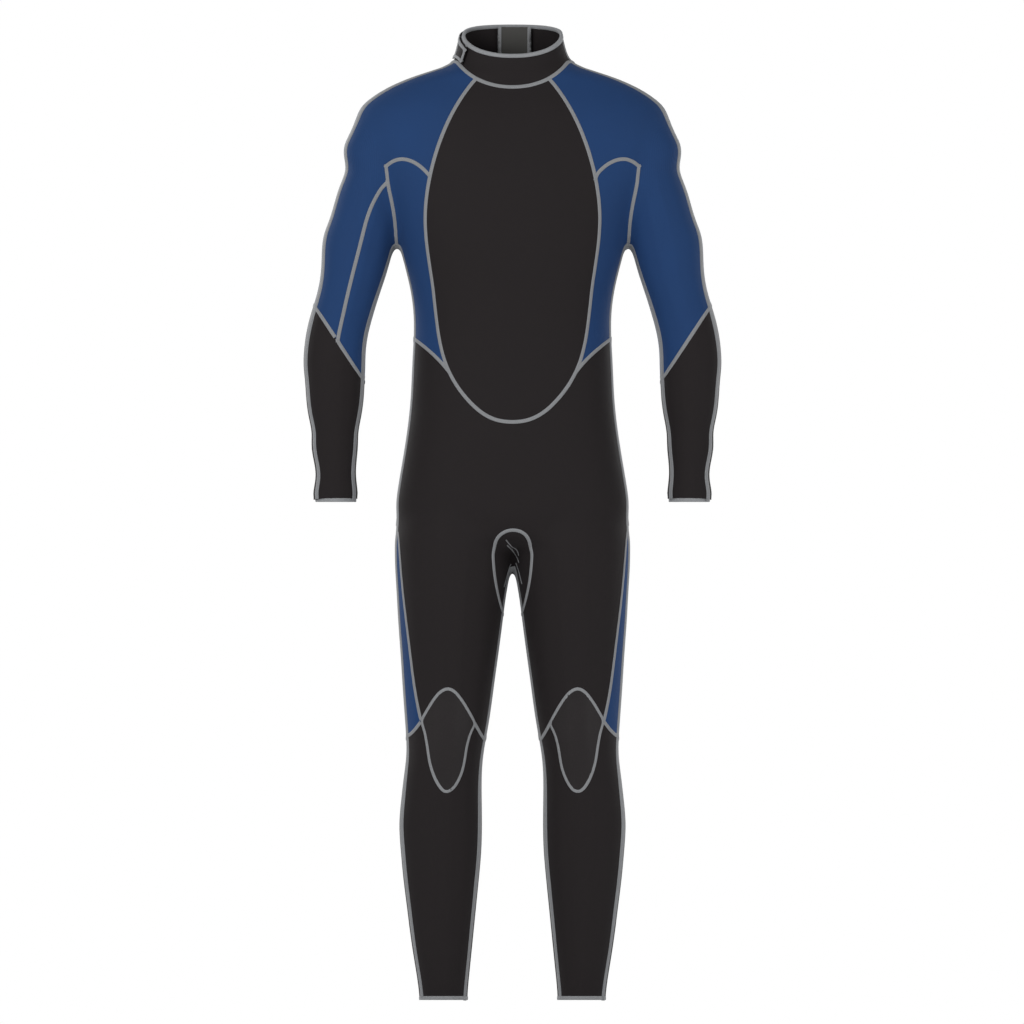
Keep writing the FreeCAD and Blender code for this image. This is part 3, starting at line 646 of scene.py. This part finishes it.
def mesh_piece(name, batches):
    """One smooth piece from several (vertices, faces, marks)."""
    vertices, faces, marks = [], [], []
    for some_vertices, some_faces, some_marks in batches:
        shift = len(vertices)
        vertices += list(some_vertices)
        faces += [tuple(v + shift for v in face) for face in some_faces]
        marks += list(some_marks)
    piece = new_object(name, vertices, faces)
    smooth_faces(piece.data)
    set_uv(piece.data, np.array(marks))
    return piece


# ---------------------------------------------------------------- soft trims from the frame

def softened(name, nodes, voxel, rounds, uv_axis="z"):
    """A soft piece shaped like some CAD nodes, with its corners rounded off."""
    points, corners = gather(nodes)
    piece = new_object(name, points, corners.tolist())
    weld = piece.modifiers.new("weld", "WELD")
    weld.merge_threshold = 0.00001
    add_remesh(piece, voxel)
    smooth = piece.modifiers.new("smooth", "SMOOTH")
    smooth.iterations = rounds
    smooth.factor = 0.5
    mesh = applied(piece)
    piece.modifiers.clear()
    old = piece.data
    piece.data = mesh
    bpy.data.meshes.remove(old)
    smooth_faces(mesh)
    place, _ = triangles_of(mesh)
    middle = (place.min(axis=0) + place.max(axis=0)) / 2
    if uv_axis == "ring":
        turn = np.arctan2(place[:, 0] - middle[0], middle[1] - place[:, 1])
        radius = (place[:, 0].max() - place[:, 0].min()) / 2
        set_uv(mesh, np.column_stack([turn * radius, place[:, 2] - middle[2]]))
    else:
        set_uv(mesh, np.column_stack([place[:, 2], place[:, 0] - middle[0]]))
    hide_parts(*nodes)
    return piece


# ---------------------------------------------------------------- finishes

def linear(red, green, blue):
    """A screen colour, 0 to 255 a channel, as a linear one."""
    found = [(c / 255 / 12.92 if c <= 10 else ((c / 255 + 0.055) / 1.055) ** 2.4)
             for c in (red, green, blue)]
    return (*found, 1.0)


class Finish:
    """A node material being put together."""

    def __init__(self, name, colour, roughness, **inputs):
        self.material = bpy.data.materials.new(name)
        self.material.use_nodes = True
        self.nodes = self.material.node_tree.nodes
        self.links = self.material.node_tree.links
        self.shader = self.nodes["Principled BSDF"]
        self.shader.inputs["Base Color"].default_value = colour
        self.shader.inputs["Roughness"].default_value = roughness
        for key, value in inputs.items():
            self.shader.inputs[key.replace("_", " ")].default_value = value
        self.colour = colour

    def node(self, kind, **settings):
        made = self.nodes.new(kind)
        for key, value in settings.items():
            setattr(made, key, value)
        return made

    def put(self, value, socket):
        if isinstance(value, (int, float)):
            socket.default_value = value
        else:
            self.links.new(value, socket)

    def maths(self, operation, first, second=0.0, third=0.0):
        made = self.node("ShaderNodeMath", operation=operation)
        for value, socket in zip((first, second, third), made.inputs):
            self.put(value, socket)
        return made.outputs[0]

    def scaled(self, value, factor, shift=0.0):
        return self.maths("MULTIPLY_ADD", value, factor, shift)

    def total(self, first, second):
        return self.maths("ADD", first, second)

    def gap(self, first, second):
        return self.maths("ABSOLUTE", self.maths("SUBTRACT", first, second))

    def stroke(self, distance, reach):
        """1 on a line, falling to 0 at a distance from it."""
        return self.maths("SUBTRACT", 1.0, self.maths("MINIMUM", self.scaled(distance, 1 / reach),
                                                      1.0))

    def length_map(self):
        split = self.node("ShaderNodeSeparateXYZ")
        self.links.new(self.node("ShaderNodeUVMap", uv_map="length_map").outputs[0],
                       split.inputs[0])
        return split.outputs[0], split.outputs[1]

    def noise(self, scale, detail=3.0, roughness=0.55):
        made = self.node("ShaderNodeTexNoise")
        made.inputs["Scale"].default_value = scale
        made.inputs["Detail"].default_value = detail
        made.inputs["Roughness"].default_value = roughness
        self.links.new(self.node("ShaderNodeTexCoord").outputs["Object"], made.inputs["Vector"])
        return made.outputs[0]

    def wave(self, value, pitch, shift=0.0):
        return self.maths("SINE", self.scaled(value, 2 * math.pi / pitch, shift))

    def ripple(self, value, pitch):
        """A wave from 0 to 1 along a length in metres."""
        return self.scaled(self.wave(value, pitch), 0.5, 0.5)

    def tint(self, amount, darkest, lightest):
        """Scales the colour between two factors as amount goes from 0 to 1."""
        factor = self.scaled(amount, lightest - darkest, darkest)
        scale = self.node("ShaderNodeVectorMath", operation="SCALE")
        scale.inputs[0].default_value = self.colour[:3]
        self.put(factor, scale.inputs["Scale"])
        self.links.new(scale.outputs[0], self.shader.inputs["Base Color"])

    def rough(self, amount, smoothest, roughest):
        self.put(self.scaled(amount, roughest - smoothest, smoothest),
                 self.shader.inputs["Roughness"])

    def bump(self, height, depth, strength=0.6):
        made = self.node("ShaderNodeBump")
        made.inputs["Strength"].default_value = strength
        made.inputs["Distance"].default_value = depth
        self.put(height, made.inputs["Height"])
        self.links.new(made.outputs[0], self.shader.inputs["Normal"])
        return self.material


def jersey(name, colour, pitch=0.0011):
    """Knitted nylon face: rows of stitches, soft creases and a slight sheen."""
    finish = Finish(name, colour, 0.78, Sheen_Weight=0.03, Sheen_Roughness=0.4,
                    Specular_IOR_Level=0.16)
    across, along = finish.length_map()
    wale = finish.ripple(across, pitch)
    row = finish.wave(along, pitch * 0.8, finish.scaled(wale, 1.6))
    knit = finish.scaled(wale, finish.scaled(row, 0.35, 0.65))
    cloud = finish.noise(9.0, 4.0)
    grain = finish.noise(420.0, 2.0)
    finish.tint(finish.scaled(knit, 0.35, finish.scaled(cloud, 0.65)), 0.82, 1.22)
    finish.rough(cloud, 0.62, 0.84)
    soft = finish.scaled(finish.noise(16.0, 2.0), 6.0, finish.scaled(grain, 0.5))
    return finish.bump(finish.total(knit, soft), 0.00022, 0.55)


def rubber(name, colour):
    """Printed rubber over jersey: small raised dots in rows, a little glossier."""
    finish = Finish(name, colour, 0.56, Specular_IOR_Level=0.24)
    across, along = finish.length_map()
    pitch = 0.0026
    grid = finish.scaled(finish.ripple(across, pitch), finish.ripple(along, pitch))
    dots = finish.maths("SMOOTH_MIN", finish.scaled(grid, 1.6), 0.6, 0.2)
    cloud = finish.noise(14.0, 4.0)
    finish.tint(cloud, 0.85, 1.25)
    finish.rough(cloud, 0.42, 0.6)
    return finish.bump(finish.scaled(cloud, 3.0, dots), 0.00025, 0.6)


def flatlock(name, colour, width):
    """Grey flat seam: two needle lines and threads looping across between them."""
    finish = Finish(name, colour, 0.66, Sheen_Weight=0.1, Specular_IOR_Level=0.3)
    along, across = finish.length_map()
    swing = finish.maths("PINGPONG", along, STITCH_PITCH / 2)
    swing = finish.scaled(swing, 1.3 * width / STITCH_PITCH, -0.325 * width)
    loops = finish.stroke(finish.gap(across, swing), 0.0007)
    lines = finish.stroke(finish.gap(finish.maths("ABSOLUTE", across), 0.36 * width), 0.0005)
    lines = finish.scaled(lines, finish.ripple(along, STITCH_PITCH / 2))
    thread = finish.maths("MAXIMUM", loops, lines)
    finish.tint(thread, 0.84, 1.2)
    return finish.bump(finish.scaled(finish.noise(900.0, 2.0), 0.4, thread), 0.0004, 0.8)


def woven(name, colour, pitch, roughness=0.7, depth=0.0003):
    """Plain weave, for webbing, zip tape and bindings."""
    finish = Finish(name, colour, roughness, Sheen_Weight=0.1, Specular_IOR_Level=0.3)
    along, across = finish.length_map()
    weave = finish.scaled(finish.scaled(finish.wave(along, pitch), finish.wave(across, pitch)),
                          0.5, 0.5)
    fray = finish.noise(300.0, 3.0)
    finish.tint(finish.scaled(weave, 0.5, finish.scaled(fray, 0.5)), 0.7, 1.35)
    return finish.bump(finish.total(weave, fray), depth, 0.8)


def fuzzy(name, colour):
    """Hooks and loops: a coarse pile."""
    finish = Finish(name, colour, 0.9, Sheen_Weight=0.4, Sheen_Roughness=0.5)
    pile = finish.noise(1400.0, 4.0, 0.7)
    finish.tint(pile, 0.5, 1.7)
    return finish.bump(pile, 0.0008, 1.0)


def hard(name, colour, roughness, metallic):
    """Moulded plastic or metal with a faint grain."""
    finish = Finish(name, colour, roughness, Metallic=metallic)
    grain = finish.noise(60.0, 4.0)
    finish.tint(grain, 0.88, 1.12)
    finish.rough(grain, roughness * 0.8, roughness * 1.25)
    return finish.bump(finish.noise(1500.0, 2.0), 0.00003, 0.4)


def backdrop(name, colour):
    finish = Finish(name, colour, 0.9)
    finish.tint(finish.noise(1.5, 2.0), 0.995, 1.005)
    return finish.material


BLACK_COLOUR = linear(36, 32, 33)
BLUE_COLOUR = linear(33, 64, 110)
SEAM_COLOUR = linear(150, 152, 155)
FINISHES = {
    BLACK: jersey("black_jersey", BLACK_COLOUR),
    BLUE: jersey("blue_jersey", BLUE_COLOUR),
    RUBBER: rubber("printed_rubber", BLACK_COLOUR),
    "collar_neoprene": jersey("collar_jersey", BLACK_COLOUR, 0.0009),
    "grey_lining": jersey("grey_jersey", linear(83, 82, 80), 0.0013),
    "seam_grey": flatlock("flatlock_seam", SEAM_COLOUR, SEAM_WIDTH),
    "hook_loop": fuzzy("hook_and_loop", linear(38, 38, 40)),
    "zip_tape": woven("zip_tape", linear(34, 33, 34), 0.0009),
    "zip_coil": hard("moulded_teeth", linear(40, 40, 42), 0.38, 0.0),
    "slider_metal": hard("painted_slider", linear(46, 46, 48), 0.35, 0.6),
    "pin_metal": hard("steel_pin", linear(170, 172, 175), 0.28, 1.0),
    "webbing": woven("webbing", linear(38, 37, 39), 0.0022, 0.65, 0.0006),
}
LINING = jersey("lining_jersey", linear(44, 43, 44), 0.0014)
BINDING = woven("grey_binding", SEAM_COLOUR, 0.0011)
SIDE_TAPE = flatlock("side_flatlock", SEAM_COLOUR, SIDE_SEAM_WIDTH)


def dress(piece, slot, *materials):
    piece.data.materials.clear()
    for material in materials or (FINISHES[slot],):
        piece.data.materials.append(material)


# ---------------------------------------------------------------- the suit

def make_panels():
    """Every panel of the skin, then the seams between them."""
    skin = make_skin()
    points, corners, normals = skin
    labels, fields, rivals = panel_fields(points)
    clips = {}
    for label in labels[:len(PANELS) + 1]:
        clips[label] = clip(points, normals, corners, fields[label], rivals[label])
    for label, (nodes, _, slot, _) in PANELS.items():
        piece = panel_piece(label, clips[label])
        dress(piece, slot, FINISHES[slot], LINING)
        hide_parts(*nodes)
        follow(piece, joint_of(label))
    make_seams(skin, labels, clips, fields)


# painted highlights: short grey lines along the creases at the fork, as x and z in the front view
GUSSET_CREASE_HIGHLIGHTS = [((-0.0098, 0.6906), (0.0, 0.679), (0.0092, 0.6666)),
                  ((-0.0082, 0.6825), (0.0022, 0.6705), (0.0097, 0.656)),
                  ((-0.0022, 0.654), (-0.008, 0.638), (-0.0127, 0.6195)),
                  ((0.0052, 0.6555), (0.010, 0.641), (0.0142, 0.624))]
CREASE_HIGHLIGHT_WIDTH, CREASE_HIGHLIGHT_RISE = 0.0018, 0.0006
SEAM_ORDER = ["collar", "gusset", "right_knee_pad", "left_knee_pad", "chest", "back",
              "right_underarm"]
BEND_MARGIN = 0.04        # a side tape goes with the joint's pieces from this far above the bend
SIDE_TAPER = {"arm": (1.0, 0.86), "leg": (0.30, 0.08)}   # levels where the narrowing starts, ends
SIDE_TAPER_SHARE = 0.4


def side_width(point):
    """The side tape narrows towards the wrist and the ankle."""
    start, end = SIDE_TAPER["arm" if abs(point[0]) > 0.2 else "leg"]
    share = min(1.0, max(0.0, (start - point[2]) / (start - end)))
    return SIDE_SEAM_WIDTH * (1 - SIDE_TAPER_SHARE * share)


def lay(tapes, key, line, skin_parts):
    """Add a tape along a line to those of one body; key also says if it's a side tape."""
    batch = ribbon(line, side_width if key[1] else SEAM_WIDTH, SEAM_RISE, *skin_parts)
    if batch:
        tapes.setdefault(key, []).append(batch)


def side_lines(points, corners, fields):
    """Lines down the sides of the suit, each with the joint it bends at."""
    fronts = [label for label in fields if label not in PANELS or PANELS[label][1] < 1]
    table = np.array([fields[label] for label in fronts])
    owner, best = table.argmin(axis=0), table.min(axis=0)
    height = points[:, 1] - (SIDE_SEAM - SIDE_SEAM_SHIFT)
    before = height < 0
    crossing = before[corners].sum(axis=1) % 3 != 0
    numbers, segments = {}, []
    for triangle in corners[crossing].tolist():
        ends = [(min(a, b), max(a, b)) for a, b in zip(triangle, triangle[1:] + triangle[:1])
                if before[a] != before[b]]
        segments.append(tuple(numbers.setdefault(end, len(numbers)) for end in ends))
    first, second = np.array(list(numbers)).T
    share = (height[first] / (height[first] - height[second]))[:, None]
    places = points[first] + share * (points[second] - points[first])

    def bend_at(k):
        label = fronts[owner[first[k]]]
        if best[first[k]] >= 0 or label == "collar":
            return "none"
        bend = joint_of(label)
        return bend if bend and places[k][2] < BENDS[bend[1]][1] + BEND_MARGIN else None

    for chain in chains(segments):
        bends = [bend_at(k) for k in chain]
        if "none" in bends:
            turn = bends.index("none")
            chain, bends = chain[turn:] + chain[1:turn + 1], bends[turn:] + bends[1:turn + 1]
        start = 0
        for k in range(1, len(chain) + 1):
            if k == len(chain) or bends[k] != bends[start]:
                line = places[chain[start:k + 1]]
                if bends[start] != "none" and lengths(line)[-1] > SHORTEST_SEAM:
                    yield bends[start], carried_on(eased(line))
                start = k


def make_seams(skin, labels, clips, fields):
    """Tapes along the rims of the panels; each seam is laid once, by the first panel in order."""
    points, corners, normals = skin
    skin_tree = tree_of(points, corners)
    skin_parts = skin_tree, corners, normals
    order = SEAM_ORDER + [label for label in PANELS if label not in SEAM_ORDER]
    tapes = {}
    for rank, label in enumerate(order):
        all_points, _, _, rims, rim_rival = clips[label]
        half = PANELS[label][1] if label in PANELS else 0
        kept = []
        for a, b in rims:
            other = labels[rim_rival[a]]
            if other in ("slot", "hems") or (plain(label), plain(other)) in UNSEWN:
                continue
            if order.index(other) < rank:
                continue
            if half and other in PANELS and PANELS[other][1] == -half:
                continue
            if label == "collar" and all_points[a][2] > COLLAR_CAP:
                continue
            kept.append((a, b))
        for chain in chains(kept):
            for line in at_corners(all_points[chain]):
                line = eased(line, 24 if label == "gusset" else 10)
                if lengths(line)[-1] > SHORTEST_SEAM:
                    lay(tapes, (joint_of(label), False), carried_on(line), skin_parts)
    for bend, line in side_lines(points, corners, fields):
        lay(tapes, (bend, True), line, skin_parts)
    # grey tapes laid over the creases at the fork in the seam grey: painted highlights on the
    # folds
    crease_highlights = []
    for outline in GUSSET_CREASE_HIGHLIGHTS:
        line = []
        for x, z in outline:
            hit = skin_tree.ray_cast((x, -0.4, z), (0, 1, 0), 0.5)
            if hit[0] is not None:
                line.append(np.array(hit[0]))
        batch = ribbon(np.array(line), CREASE_HIGHLIGHT_WIDTH, CREASE_HIGHLIGHT_RISE, *skin_parts)
        if batch:
            crease_highlights.append(batch)
    piece = mesh_piece("gusset_crease_highlights", crease_highlights)
    dress(piece, "seam_grey")
    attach(piece, "torso")
    for (bend, at_side), batches in tapes.items():
        where = "trunk" if bend is None else f"{bend[0]}_{bend[1]}"
        piece = mesh_piece(f"seams_{where}_{'side' if at_side else 'panel'}", batches)
        dress(piece, "seam_grey", SIDE_TAPE if at_side else FINISHES["seam_grey"])
        follow(piece, bend)


COLLAR_AXIS = np.array([0.0, -0.004, 0.0])
COLLAR_REACH = 0.13       # clear of the collar all round
COLLAR_SEAM_SPAN = (1.400, 1.462)
SIDE_TURN = math.radians(83)
EDGE_INSET = 0.0015
STITCH_INSET = 0.0035


def around(turn):
    """Direction from the neck's axis; 0 is the front and a quarter turn the wearer's right."""
    return np.array([-math.sin(turn), -math.cos(turn), 0.0])


def wall_reach(tree, turn, level, outer):
    """Distance from the neck's axis to a wall round it, or None where there is no wall."""
    centre = COLLAR_AXIS + [0, 0, level]
    direction = around(turn)
    if outer:
        hit = tree.ray_cast(centre + direction * COLLAR_REACH, -direction, COLLAR_REACH - 0.005)
        return None if hit[0] is None else COLLAR_REACH - hit[3]
    hit = tree.ray_cast(centre, direction, COLLAR_REACH)
    return None if hit[0] is None else hit[3]


def wall_place(turn, reach, level):
    return COLLAR_AXIS + around(turn) * reach + [0, 0, level]


def wall_points(tree, turns_and_levels):
    """Points on the outside of a wall round the neck, where it has one."""
    found = [(turn, wall_reach(tree, turn, level, True), level)
             for turn, level in turns_and_levels]
    return [wall_place(turn, reach, level) for turn, reach, level in found if reach]


def edge_level(tree, turn, high, low):
    """Level of a wall's upper edge between two levels, or its lower edge if high is under low."""
    step = -0.001 if high > low else 0.001
    level = high
    while wall_reach(tree, turn, level, True) is None:
        level += step
        if abs(level - high) > abs(high - low):
            return None
    clear = level - step
    for _ in range(5):
        middle = (clear + level) / 2
        if wall_reach(tree, turn, middle, True) is None:
            clear = middle
        else:
            level = middle
    return level


def make_binding():
    """Woven binding folded over the collar's upper edge."""
    tree = tree_of(*gather(["collar_band"]))
    count = 160
    vertices, marks, faces = [], [], []
    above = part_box("collar_band")[1][2] + 0.002
    for k in range(count):
        turn = 2 * math.pi * k / count
        top = edge_level(tree, turn, above, above - 0.092)
        near = [wall_reach(tree, turn, top - 0.0012, outer) for outer in (True, False)]
        foot = [wall_reach(tree, turn, top - 0.0046, outer) for outer in (True, False)]
        near[1] = near[1] or near[0] - SHEET
        foot[1] = foot[1] or foot[0] - SHEET
        profile = ((foot[0] + 0.0002, -0.0048), (foot[0] + 0.0010, -0.0040),
                   (near[0] + 0.0011, -0.0008), (near[0] + 0.0007, 0.0007),
                   ((near[0] + near[1]) / 2, 0.0012), (near[1] - 0.0007, 0.0007),
                   (near[1] - 0.0011, -0.0008), (foot[1] - 0.0010, -0.0040),
                   (foot[1] - 0.0002, -0.0048))
        for j, (reach, lift) in enumerate(profile):
            vertices.append(wall_place(turn, reach, top + lift))
            marks.append((turn * 0.07, 0.002 * j))
    row = len(profile)
    for k in range(count):
        for j in range(row - 1):
            a, b = k * row + j, (k + 1) % count * row + j
            faces.append((a, b, b + 1, a + 1))
    piece = mesh_piece("collar_binding", [(vertices, faces, marks)])
    dress(piece, "seam_grey", BINDING)
    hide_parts("neck_binding")
    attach(piece, "torso")


def lay_on(piece, name, lines, width, rise, body):
    """Tapes laid along lines on a finished piece."""
    points, corners = triangles_of(piece.data)
    normals = np.array([v.normal for v in piece.data.vertices])
    base = tree_of(points, corners), corners, normals
    batches = [ribbon(eased(np.array(line), 3), width, rise, *base) for line in lines]
    tape = mesh_piece(name, [batch for batch in batches if batch])
    dress(tape, "seam_grey")
    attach(tape, body)


def upright(tree, turn, low, high):
    return wall_points(tree, [(turn, level) for level in np.linspace(low, high, 32)])


def make_collar():
    """Collar, its binding, the closure tab with its patches, and the flap behind the zip."""
    made = {}
    for label, voxel, rounds, body, slot in (
            ("collar_band", 0.001, 6, "torso", "collar_neoprene"),
            ("collar_tab", 0.0008, 4, "collar_tab", "collar_neoprene"),
            ("tab_anchor", 0.0008, 2, "torso", "collar_neoprene"),
            ("hook_patch", 0.0004, 1, "collar_tab", "hook_loop"),
            ("loop_patch", 0.0004, 1, "torso", "hook_loop"),
            ("zip_guard_flap", 0.001, 3, "torso", "grey_lining")):
        piece = softened(label, [label], voxel, rounds,
                         uv_axis="z" if label == "zip_guard_flap" else "ring")
        dress(piece, slot)
        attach(piece, body)
        made[label] = piece
    make_binding()

    tree = tree_of(*gather(["collar_tab"]))
    low, high = (corner[2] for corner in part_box("collar_tab"))
    inside = low + EDGE_INSET, high - EDGE_INSET
    front = []
    for level in np.linspace(*inside, 24):
        turns = np.arange(math.radians(25), math.radians(120), math.radians(0.5))
        found = [turn for turn in turns if wall_reach(tree, turn, level, True) is not None]
        if found and found[0] > turns[0]:
            front.append((found[0] + 0.05, level))
    front = wall_points(tree, front)
    edges = [front, upright(tree, SIDE_TURN, *inside)]
    for inset, start, stop in ((-STITCH_INSET, high + 0.001, low),
                               (STITCH_INSET, low - 0.001, high)):
        turns = np.arange(math.radians(62), math.radians(214), math.radians(3))
        levels = [edge_level(tree, turn, start, stop) for turn in turns]
        edges.append(wall_points(tree, [(turn, level + inset) for turn, level
                                        in zip(turns, levels) if level is not None]))
    lay_on(made["collar_tab"], "tab_stitching", edges, TAB_SEAM_WIDTH, SEAM_RISE, "collar_tab")

    band = tree_of(*gather(["collar_band"]))
    turns = [math.atan2(-point[0], -(point[1] - COLLAR_AXIS[1])) for point in front]
    lines = [upright(band, turn, *COLLAR_SEAM_SPAN) for turn in (-SIDE_TURN, np.median(turns))]
    lay_on(made["collar_band"], "collar_seams", lines, TAB_SEAM_WIDTH, 0.7 * SEAM_RISE, "torso")

    tree = tree_of(*gather(["zip_guard_flap"]))
    low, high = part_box("zip_guard_flap")
    sides = []
    for across in (low[0] + EDGE_INSET, high[0] - EDGE_INSET):
        edge = []
        for level in np.linspace(low[2] + 0.002, high[2] - 0.001, 60):
            hit = tree.ray_cast((across, 0, level), (0, 1, 0), 0.2)
            if hit[0] is not None:
                edge.append(np.array(hit[0]))
        sides.append(edge)
    lay_on(made["zip_guard_flap"], "flap_stitching", sides, 0.0065, 1.5 * SEAM_RISE, "torso")


def make_hems():
    """Woven hems round the wrists and ankles."""
    for side in SIDES:
        for end, body in (("wrist", "forearm"), ("ankle", "shank")):
            piece = softened(f"{side}_{end}_hem", [f"{side}_{end}_hem"], 0.0008, 5,
                             uv_axis="ring")
            dress(piece, "seam_grey", BINDING)
            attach(piece, f"{side}_{body}")


def rounded_block(low, high, edge):
    """A block with chamfered upright edges: vertices and faces."""
    (x0, y0, z0), (x1, y1, z1) = low, high
    ring = [(x0 + edge, y0), (x1 - edge, y0), (x1, y0 + edge), (x1, y1 - edge),
            (x1 - edge, y1), (x0 + edge, y1), (x0, y1 - edge), (x0, y0 + edge)]
    cx, cy = (x0 + x1) / 2, (y0 + y1) / 2
    vertices = []
    for z, pull in ((z0, edge), (z0 + edge, 0.0), (z1 - edge, 0.0), (z1, edge)):
        for x, y in ring:
            vertices.append((x - pull * np.sign(x - cx), y - pull * np.sign(y - cy), z))
    count = len(ring)
    faces = [tuple(range(count - 1, -1, -1)), tuple(3 * count + k for k in range(count))]
    return vertices, faces + ring_faces(4, count), [(v[2], v[0]) for v in vertices]


TOOTH_PITCH = 0.0022
TOOTH_SHARE = 0.46        # of the pitch
TOOTH_OVERLAP = 0.0011    # past the middle, between the other side's teeth


def make_zip():
    """Tapes, interlocking teeth and stops; the slider and pull are the CAD's, dressed."""
    for side in SIDES:
        low, high = (np.array(corner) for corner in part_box(f"{side}_zip_tape"))
        strip = mesh_piece(f"{side}_zip_tape", [rounded_block(low, high, 0.0003)])
        dress(strip, "zip_tape")
        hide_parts(f"{side}_zip_tape")
        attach(strip, "torso")
        low, high = (np.array(corner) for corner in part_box(f"{side}_zip_coil"))
        teeth = []
        z = low[2] + (0.5 * TOOTH_PITCH if side == "left" else 0.0)
        while z < high[2] - TOOTH_PITCH:
            start, end = low.copy(), high.copy()
            start[2], end[2] = z, z + TOOTH_PITCH * TOOTH_SHARE
            if side == "left":
                start[0] = min(low[0], -TOOTH_OVERLAP)
            else:
                end[0] = max(high[0], TOOTH_OVERLAP)
            teeth.append(rounded_block(start, end, 0.00022))
            z += TOOTH_PITCH
        row = mesh_piece(f"{side}_zip_teeth", teeth)
        dress(row, "zip_coil")
        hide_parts(f"{side}_zip_coil")
        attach(row, "torso")
    for name in ("zip_top_stops", "zip_bottom_stop", "zip_slider", "pull_tab", "pull_pin",
                 "leash_pin"):
        dress(NODES[name], "pin_metal" if name.endswith("pin") else "slider_metal")
        bevel = NODES[name].modifiers.new("edges", "BEVEL")
        bevel.width = 0.0003
        bevel.segments = 2
        bevel.limit_method = "ANGLE"
    for name in ("leash_strap", "leash_grip"):
        piece = softened(name, [name], 0.0007, 3)
        dress(piece, "webbing")
        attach(piece, "leash")


def area_light(name, place, aim, size, power):
    light = bpy.data.lights.new(name, "AREA")
    light.size = size
    light.energy = power
    lamp = bpy.data.objects.new(name, light)
    bpy.context.scene.collection.objects.link(lamp)
    lamp.location = place
    lamp.rotation_euler = (Vector(aim) - Vector(place)).to_track_quat("-Z", "Y").to_euler()


FLOOR_SIZE, FLOOR_LEVEL = 4, -0.0005
VIEW_WIDTH = 1.536
VIEW_FROM = (-0.00075, -3.0, 0.732)


def make_studio():
    """Pale floor, white surroundings, soft lights and the front view's flat camera."""
    floor = new_object("floor", [(x * FLOOR_SIZE, y * FLOOR_SIZE, FLOOR_LEVEL)
                                 for x, y in ((-1, -1), (1, -1), (1, 1), (-1, 1))], [(0, 1, 2, 3)])
    floor.data.materials.append(backdrop("pale_floor", linear(236, 236, 236)))
    world = bpy.data.worlds.new("surroundings")
    bpy.context.scene.world = world
    world.use_nodes = True
    nodes, links = world.node_tree.nodes, world.node_tree.links
    nodes.clear()
    out = nodes.new("ShaderNodeOutputWorld")
    mix = nodes.new("ShaderNodeMixShader")
    seen = nodes.new("ShaderNodeLightPath")
    shades = []
    for strength in (0.34, 1.0):
        shade = nodes.new("ShaderNodeBackground")
        shade.inputs["Color"].default_value = (1, 1, 1, 1)
        shade.inputs["Strength"].default_value = strength
        shades.append(shade)
    links.new(seen.outputs["Is Camera Ray"], mix.inputs[0])
    links.new(shades[0].outputs[0], mix.inputs[1])
    links.new(shades[1].outputs[0], mix.inputs[2])
    links.new(mix.outputs[0], out.inputs["Surface"])
    area_light("key", (-1.9, -2.6, 2.3), (0, 0, 0.85), 1.8, 50)
    area_light("fill", (2.3, -2.2, 1.2), (0, 0, 0.75), 2.2, 27)
    area_light("back_right", (-1.9, 2.4, 2.0), (0, 0, 0.9), 1.6, 40)
    area_light("back_left", (2.0, 2.4, 1.5), (0, 0, 0.8), 1.8, 24)

    camera_data = bpy.data.cameras.new("front_view")
    camera_data.type = "ORTHO"
    camera_data.ortho_scale = VIEW_WIDTH
    camera = bpy.data.objects.new("front_view", camera_data)
    bpy.context.scene.collection.objects.link(camera)
    camera.location = VIEW_FROM
    camera.rotation_euler = (math.pi / 2, 0, 0)
    bpy.context.scene.camera = camera
    bpy.context.scene.view_settings.view_transform = "Standard"


make_panels()
make_collar()
make_hems()
make_zip()
make_studio()
bpy.context.view_layer.update()
